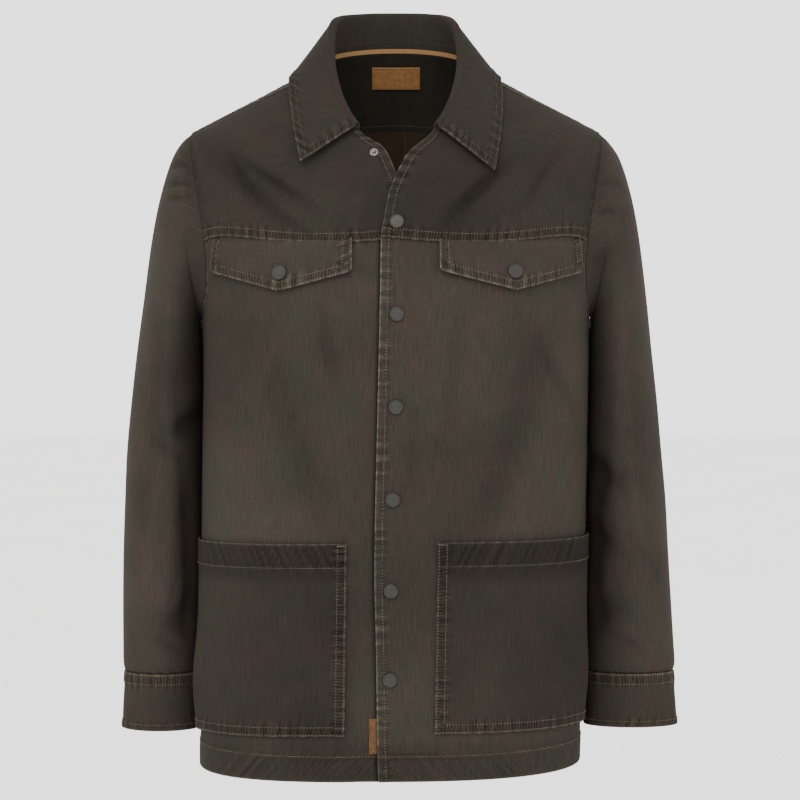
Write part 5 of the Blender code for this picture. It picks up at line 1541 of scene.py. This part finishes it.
def cotton(name, brown, olive):
    """Woven cotton, brushed and garment-washed: it dyes in two soft tones, its slubs and twill show
    as fine streaks, and its folds and seams rub pale and pucker."""
    made, tree = new_material(name)
    places = add_node(tree, "ShaderNodeTexCoord", output="Object")
    flat = add_node(tree, "ShaderNodeUVMap", uv_map="cloth")
    # Two tones in patches of about 45 mm, over a slower change of about 150 mm.
    patches = add_node(tree, NOISE, {"Vector": places, "Scale": 24.0, "Detail": 4.0, "Roughness": 0.6})
    patches = add_node(tree, RANGE, {"Value": patches, "From Min": 0.34, "From Max": 0.66}, **SMOOTH)
    tone = add_node(tree, MIX, {0: patches, 6: jacket_colour(brown), 7: jacket_colour(olive)}, **COLOUR)
    slow = add_node(tree, NOISE, {"Vector": places, "Scale": 6.5, "Detail": 3.0})
    shade = add_node(tree, RANGE, {"Value": slow, "From Min": 0.32, "From Max": 0.68,
                                   "To Min": 0.82, "To Max": 1.17})
    # Slubs run up the cloth, about 1.3 mm wide and 26 mm long.
    threads = add_node(tree, MAPPING, {"Vector": flat, "Scale": (1 / (1.3 * MM), 1 / (26 * MM), 1.0)})
    slubs = add_node(tree, NOISE, {"Vector": threads, "Scale": 1.0, "Detail": 3.0, "Roughness": 0.6})
    slubs = add_node(tree, RANGE, {"Value": slubs, "From Min": 0.28, "From Max": 0.72,
                                   "To Min": 0.80, "To Max": 1.20})
    shade = add_node(tree, MATH, {0: shade, 1: slubs}, **TIMES)
    # The weave itself is under a pixel, so it is drawn as a fleck of about 2 mm.
    weave = add_node(tree, MAPPING, {"Vector": flat, "Scale": (1 / (1.6 * MM), 1 / (2.6 * MM), 1.0)})
    fleck = add_node(tree, NOISE, {"Vector": weave, "Scale": 1.0, "Detail": 2.0, "Roughness": 0.7})
    fleck_shade = add_node(tree, RANGE, {"Value": fleck, "From Min": 0.25, "From Max": 0.75,
                                         "To Min": 0.84, "To Max": 1.18})
    shade = add_node(tree, MATH, {0: shade, 1: fleck_shade}, **TIMES)
    # Seams: a rusty band crossed by close puckers, about 3 mm apart.
    seam = add_node(tree, ATTRIBUTE, output="Vector", attribute_name="seam")
    band = add_node(tree, "ShaderNodeSeparateXYZ", {"Vector": seam}, output="Z")
    rungs = add_node(tree, MAPPING, {"Vector": seam,
                                     "Scale": (PER_WAVE / (3.2 * MM), 1 / (30 * MM), 0.0)})
    rungs = add_node(tree, WAVE, {"Vector": rungs, "Scale": 1.0, "Distortion": 6.5, "Detail": 2.0,
                                  "Detail Scale": 2.5, "Detail Roughness": 0.6})
    rusty = add_node(tree, MATH, {0: band, 1: 0.38}, **TIMES)
    tone = add_node(tree, MIX, {0: rusty, 6: tone, 7: jacket_colour("seams")}, **COLOUR)
    pale_rungs = add_node(tree, MATH, {0: band, 1: rungs}, **TIMES)
    deep = add_node(tree, MATH, {0: band, 1: pale_rungs}, operation="SUBTRACT")
    deep = add_node(tree, RANGE, {"Value": deep, "To Min": 1.0, "To Max": 0.52})
    shade = add_node(tree, MATH, {0: shade, 1: deep}, **TIMES)
    # Raised folds are rubbed to a paler olive. Below 0 the attribute darkens the cloth, partly as
    # painted shade in the hollows of folds and beside and beneath overlapping edges.
    wear_and_shade = add_node(tree, ATTRIBUTE, output="Fac", attribute_name="wear_and_shade")
    rub = add_node(tree, NOISE, {"Vector": places, "Scale": 360.0, "Detail": 3.0, "Roughness": 0.6})
    rub = add_node(tree, RANGE, {"Value": rub, "From Min": 0.30, "From Max": 0.70,
                                 "To Min": 0.35, "To Max": 1.30})
    worn = add_node(tree, RANGE, {"Value": wear_and_shade, "From Min": 0.05, "From Max": 1.05})
    worn = add_node(tree, MATH, {0: worn, 1: rub}, use_clamp=True, **TIMES)
    hollow = add_node(tree, RANGE, {"Value": wear_and_shade, "From Min": -0.9, "From Max": -0.02,
                                    "To Min": 0.35, "To Max": 1.0})
    shade = add_node(tree, MATH, {0: shade, 1: hollow}, **TIMES)
    worn_rungs = add_node(tree, MATH, {0: pale_rungs, 1: 0.09}, **TIMES)
    worn = add_node(tree, MATH, {0: worn, 1: worn_rungs}, operation="MAXIMUM")
    tone = add_node(tree, MIX, {0: worn, 6: tone, 7: jacket_colour("worn")}, **COLOUR)
    shade = add_node(tree, "ShaderNodeCombineColor", {"Red": shade, "Green": shade, "Blue": shade})
    tone = add_node(tree, MIX, {0: 1.0, 6: tone, 7: shade}, **DARKEN)
    # Relief of up to 0.25 mm: the puckers of the seams, then the slubs and the nap.
    height = add_node(tree, MATH, {0: slubs, 1: 0.35}, **TIMES)
    height = add_node(tree, MATH, {0: fleck, 1: height}, operation="ADD")
    ribs = add_node(tree, MATH, {0: pale_rungs, 1: 1.6}, **TIMES)
    height = add_node(tree, MATH, {0: height, 1: ribs}, operation="ADD")
    normal = add_node(tree, BUMP, {"Height": height, "Strength": 0.8, "Distance": 0.22 * MM})
    # Brushed cotton scatters almost all its light, with a faint sheen from the raised nap.
    shader = add_node(tree, SURFACE, {
        "Base Color": tone, "Normal": normal, "Roughness": 0.95, "Specular IOR Level": 0.06,
        "Sheen Weight": 0.02, "Sheen Roughness": 0.5, "Sheen Tint": linear("#8d8578")})
    add_node(tree, "ShaderNodeOutputMaterial", {"Surface": shader})
    return made


def jacket_colour(name):
    return list(getattr(bpy.context.scene.jacket_colours, name)) + [1.0]


def plain(name, colour, darker, patch, grain, shader):
    """A finish in two tones, the second this much darker, in patches of this size, with a grain of
    this (size, depth)."""
    made, tree = new_material(name)
    places = add_node(tree, "ShaderNodeTexCoord", output="Object")
    share = add_node(tree, NOISE, {"Vector": places, "Scale": 1 / patch, "Detail": 3.0})
    share = add_node(tree, RANGE, {"Value": share, "From Min": 0.35, "From Max": 0.65}, **SMOOTH)
    first = jacket_colour(colour)
    second = [part * darker for part in first[:3]] + [1.0]
    tone = add_node(tree, MIX, {0: share, 6: first, 7: second}, **COLOUR)
    bumps = add_node(tree, NOISE, {"Vector": places, "Scale": 1 / grain[0], "Detail": 2.0})
    normal = add_node(tree, BUMP, {"Height": bumps, "Strength": 0.6, "Distance": grain[1]})
    shader = add_node(tree, SURFACE, {"Base Color": tone, "Normal": normal, **shader})
    add_node(tree, "ShaderNodeOutputMaterial", {"Surface": shader})
    return made


def tape(name):
    """Woven cotton tape, with its ribs across it every 1.2 mm and painted shade in the grooves between
    them.
    """
    made, tree = new_material(name)
    flat = add_node(tree, "ShaderNodeUVMap", uv_map="cloth")
    ribs = add_node(tree, WAVE, {"Vector": flat, "Scale": PER_WAVE / (1.2 * MM)})
    raised = jacket_colour("tape")
    # Painted shade: the grooves between the ribs are drawn darker than the raised ribs.
    shaded_grooves = [part * 0.40 for part in raised[:3]] + [1.0]
    tone = add_node(tree, MIX, {0: ribs, 6: shaded_grooves, 7: raised}, **COLOUR)
    normal = add_node(tree, BUMP, {"Height": ribs, "Strength": 0.6, "Distance": 0.2 * MM})
    shader = add_node(tree, SURFACE, {
        "Base Color": tone, "Normal": normal, "Roughness": 0.85, "Specular IOR Level": 0.2})
    add_node(tree, "ShaderNodeOutputMaterial", {"Surface": shader})
    return made


MATTE = {"Roughness": 0.8, "Specular IOR Level": 0.2}
WAXED = {"Roughness": 0.7, "Specular IOR Level": 0.15}
THREAD_GRAIN, LEATHER_GRAIN = (1.0 * MM, 0.1 * MM), (0.8 * MM, 0.06 * MM)
FINISHES = {
    "brushed_cotton": (cotton, "brown", "olive"),
    # The wrong side is neither brushed nor rubbed, so it keeps a browner dye, and the yoke's a darker.
    "cotton_wrong_side": (cotton, "inside_brown", "inside_olive"),
    "yoke_wrong_side": (cotton, "yoke_brown", "yoke_olive"),
    # Spun polyester thread, faded in the wash over lengths of about 14 mm: dull and a little hairy.
    "tan_thread": (plain, "thread", 0.57, 14 * MM, THREAD_GRAIN, MATTE),
    "faded_thread": (plain, "faded_thread", 0.69, 14 * MM, THREAD_GRAIN, MATTE),
    # Waxed, vegetable-tanned leather: darker where it has been handled, with a fine grain.
    "tan_leather": (plain, "leather", 0.71, 4 * MM, LEATHER_GRAIN, WAXED),
    # The label is the same leather in a paler tone: painted light, which brightens it where it sits in
    # the shade inside the neck.
    "label_leather": (plain, "label", 0.76, 4 * MM, LEATHER_GRAIN, WAXED),
    "tan_tape": (tape,),
    # Pressed brass, painted in matte olive grey that has worn a little.
    "olive_snap": (plain, "snaps", 0.65, 3 * MM, (1.2 * MM, 0.05 * MM),
                   {"Roughness": 0.45, "Specular IOR Level": 0.3}),
    # Nickel-plated steel, bright from the press.
    "steel_stud": (plain, "stud", 0.60, 2 * MM, (1.0 * MM, 0.01 * MM),
                   {"Roughness": 0.28, "Metallic": 1.0}),
    # Matte painted board, as studio floors are.
    "studio_floor": (plain, "floor", 0.98, 0.5, (20 * MM, 0.1 * MM),
                     {"Roughness": 0.95, "Specular IOR Level": 0.1}),
}


def finish(name):
    """The material of a finish, made the first time it is asked for."""
    title = name.replace("_", " ").capitalize()
    maker, *values = FINISHES[name]
    return bpy.data.materials.get(title) or maker(title, *values)


# ---------------------------------------------------------------- the add-on

def colour(name, description, code):
    """A colour for the panel, from its sRGB hex code."""
    return FloatVectorProperty(name=name, description=description, subtype="COLOR", size=3,
                               min=0.0, max=1.0, default=linear(code)[:3])


def length(name, description, default):
    """A length for the panel, in metres."""
    return FloatProperty(name=name, description=description, subtype="DISTANCE", unit="LENGTH",
                         precision=5, min=0.0, default=default)


def power(name, description, default):
    """A lamp's power for the panel, in watts."""
    return FloatProperty(name=name, description=description, unit="POWER", min=0.0, default=default)


class JacketColours(bpy.types.PropertyGroup):
    """Colours of the cloth, the thread and the trims."""

    brown: colour("Brown", "Browner tone of the cloth", "#2b2420")
    olive: colour("Olive", "Greener tone of the cloth", "#26251f")
    worn: colour("Worn edges", "Rubbed folds and seams", "#4e4c42")
    seams: colour("Seams", "Cloth between the stitch rows of a seam", "#2f271f")
    inside_brown: colour("Inside brown", "Browner tone of the wrong side", "#33271d")
    inside_olive: colour("Inside olive", "Greener tone of the wrong side", "#2b231a")
    yoke_brown: colour("Yoke brown", "Browner tone of the back yoke's wrong side", "#24211b")
    yoke_olive: colour("Yoke olive", "Greener tone of the back yoke's wrong side", "#1f1e19")
    thread: colour("Thread", "Tan topstitching", "#4d4338")
    faded_thread: colour("Faded thread", "Topstitching of the collar and the leather", "#332c25")
    leather: colour("Tab", "Leather of the hem tab", "#4e331c")
    # Painted light: paler than the tab's leather, to brighten the label in the shade inside the neck.
    label: colour("Label", "Leather of the neck label", "#785532")
    tape: colour("Tape", "Raised ribs of the neck tape", "#80603b")
    snaps: colour("Snaps", "Paint of the snap caps", "#1d1c15")
    stud: colour("Stud", "Plating of the top stud", "#5f5b54")
    floor: colour("Floor", "Studio floor", "#f6f6f5")


class JacketSewing(bpy.types.PropertyGroup):
    """Sizes of the sewing and the snaps."""

    stitch_pitch: length("Stitch pitch", "From one stitch to the next", 3.2 * MM)
    stitch_length: length("Stitch length", "Length of thread that shows", 2.5 * MM)
    thread_width: length("Thread width", "Thread of 0.5 mm, drawn heavier so that it shows", 0.72 * MM)
    pucker_height: length("Puckers", "How far the puckers of a washed seam rise", 0.42 * MM)
    fold_lift: length("Folded edge", "How much higher the cloth stands where it is turned in", 0.95 * MM)
    channel_depth: length("Stitch channel", "How far stitching pulls the cloth in", 0.30 * MM)
    snap_radius: length("Snap radius", "Half the width of a snap cap", 7.5 * MM)


class JacketLight(bpy.types.PropertyGroup):
    """Strengths of the studio's lights."""

    surround: FloatProperty(name="Surround", description="Brightness of the white room",
                            default=2.4, min=0.0)
    key: power("Key", "Large soft light above the camera", 80.0)
    side: power("Sides", "Soft lights to either side", 20.0)


def build(*steps):
    """An operator's work: each (function, its arguments) in turn."""
    for function, *arguments in steps:
        function(*arguments)
    return {"FINISHED"}


class JACKET_OT_fronts(bpy.types.Operator):
    """Build the lower fronts and their yokes"""

    bl_idname = "jacket.fronts"
    bl_label = "Fronts"

    def execute(self, context):
        return build((front, "right"), (front, "left"), (front_yoke, "right"), (front_yoke, "left"))


class JACKET_OT_backs(bpy.types.Operator):
    """Build the two backs and the back yoke"""

    bl_idname = "jacket.backs"
    bl_label = "Backs"

    def execute(self, context):
        return build((back, "right"), (back, "left"), (back_yoke,))


class JACKET_OT_sleeves(bpy.types.Operator):
    """Build the sleeves and their cuffs"""

    bl_idname = "jacket.sleeves"
    bl_label = "Sleeves"

    def execute(self, context):
        return build((sleeve, "left", LEFT_SLEEVE, LEFT_CREASES, LEFT_DRAPES),
                     (sleeve, "right", RIGHT_SLEEVE, RIGHT_CREASES, RIGHT_DRAPES),
                     (cuff, "left", LEFT_CUFF), (cuff, "right", RIGHT_CUFF))


class JACKET_OT_collar(bpy.types.Operator):
    """Build the collar and the tape over its seam"""

    bl_idname = "jacket.collar"
    bl_label = "Collar and tape"

    def execute(self, context):
        return build((collar_and_tape,))


class JACKET_OT_pockets(bpy.types.Operator):
    """Build the chest flaps and the lower pockets"""

    bl_idname = "jacket.pockets"
    bl_label = "Flaps and pockets"

    def execute(self, context):
        return build((flap, "left"), (flap, "right"), (pocket, "left"), (pocket, "right"))


class JACKET_OT_trims(bpy.types.Operator):
    """Build the neck label and the hem tab"""

    bl_idname = "jacket.trims"
    bl_label = "Label and tab"

    def execute(self, context):
        return build((label_and_tab,))


class JACKET_OT_snaps(bpy.types.Operator):
    """Build the snap caps and the stud"""

    bl_idname = "jacket.snaps"
    bl_label = "Snaps and stud"

    def execute(self, context):
        return build((snap_caps,), (stud,))


FOCAL = 2805.0 / 800.0 * 36.0  # millimetres on a 36 mm sensor, for 2805 pixels across 800
CAMERA_PLACE = (0.0043, -3.0, -0.206)
CAMERA_TILT = 2.94  # degrees down
FLOOR_HEIGHT = -1.35
KEY_PLACE, KEY_SIZE = (-0.6, -2.6, 1.9), 1.8
SIDE_PLACES, SIDE_SIZE = ((-2.6, -1.0, 0.3), (2.6, -1.0, 0.3)), 1.6
LIT_POINT = (0.0, 0.0, -0.35)


def soft_light(name, place, size, watts):
    """A square light of this size that faces the middle of the jacket."""
    light = bpy.data.lights.new(name, "AREA")
    light.shape = "SQUARE"
    light.size = size
    light.energy = watts
    made = bpy.data.objects.new(name, light)
    bpy.context.scene.collection.objects.link(made)
    made.location = place
    toward = Vector(LIT_POINT) - Vector(place)
    made.rotation_euler = toward.to_track_quat("-Z", "Y").to_euler()


class JACKET_OT_studio(bpy.types.Operator):
    """Set up the camera, the white room and its lights"""

    bl_idname = "jacket.studio"
    bl_label = "Camera and lights"

    def execute(self, context):
        scene = context.scene
        light = scene.jacket_light
        camera = bpy.data.objects.new("Camera", bpy.data.cameras.new("Camera"))
        scene.collection.objects.link(camera)
        camera.location = CAMERA_PLACE
        camera.rotation_euler = (math.radians(90.0 - CAMERA_TILT), 0.0, 0.0)
        camera.data.lens = FOCAL
        scene.camera = camera
        world = bpy.data.worlds.new("White room")
        world.use_nodes = True
        background = world.node_tree.nodes["Background"]
        background.inputs["Color"].default_value = (1.0, 1.0, 1.0, 1.0)
        background.inputs["Strength"].default_value = light.surround
        scene.world = world
        bpy.ops.mesh.primitive_plane_add(size=30.0, location=(0.0, 0.0, FLOOR_HEIGHT))
        floor = context.active_object
        floor.name = "studio_floor"
        floor.data.materials.append(finish("studio_floor"))
        soft_light("Key light", KEY_PLACE, KEY_SIZE, light.key)
        for name, place in zip(("Left light", "Right light"), SIDE_PLACES):
            soft_light(name, place, SIDE_SIZE, light.side)
        return {"FINISHED"}


BUILDERS = (JACKET_OT_fronts, JACKET_OT_backs, JACKET_OT_sleeves, JACKET_OT_collar,
            JACKET_OT_pockets, JACKET_OT_trims, JACKET_OT_snaps, JACKET_OT_studio)


class JACKET_PT_panel(bpy.types.Panel):
    """Lists the steps that build the jacket"""

    bl_idname = "JACKET_PT_panel"
    bl_label = "Jacket"
    bl_space_type = "VIEW_3D"
    bl_region_type = "UI"
    bl_category = "Jacket"

    def draw(self, context):
        for title, kind in GROUPS.items():
            for name in kind.__annotations__:
                self.layout.prop(getattr(context.scene, title), name)
        for builder in BUILDERS:
            self.layout.operator(builder.bl_idname)


GROUPS = {"jacket_colours": JacketColours, "jacket_sewing": JacketSewing, "jacket_light": JacketLight}
CLASSES = (*GROUPS.values(), *BUILDERS, JACKET_PT_panel)


def register():
    for each in CLASSES:
        bpy.utils.register_class(each)
    for title, kind in GROUPS.items():
        setattr(bpy.types.Scene, title, PointerProperty(type=kind))


def unregister():
    for title in GROUPS:
        delattr(bpy.types.Scene, title)
    for each in reversed(CLASSES):
        bpy.utils.unregister_class(each)


def main():
    register()
    bpy.ops.jacket.fronts()
    bpy.ops.jacket.backs()
    bpy.ops.jacket.sleeves()
    bpy.ops.jacket.collar()
    bpy.ops.jacket.pockets()
    bpy.ops.jacket.trims()
    bpy.ops.jacket.snaps()
    bpy.ops.jacket.studio()


if __name__ == "__main__":
    main()
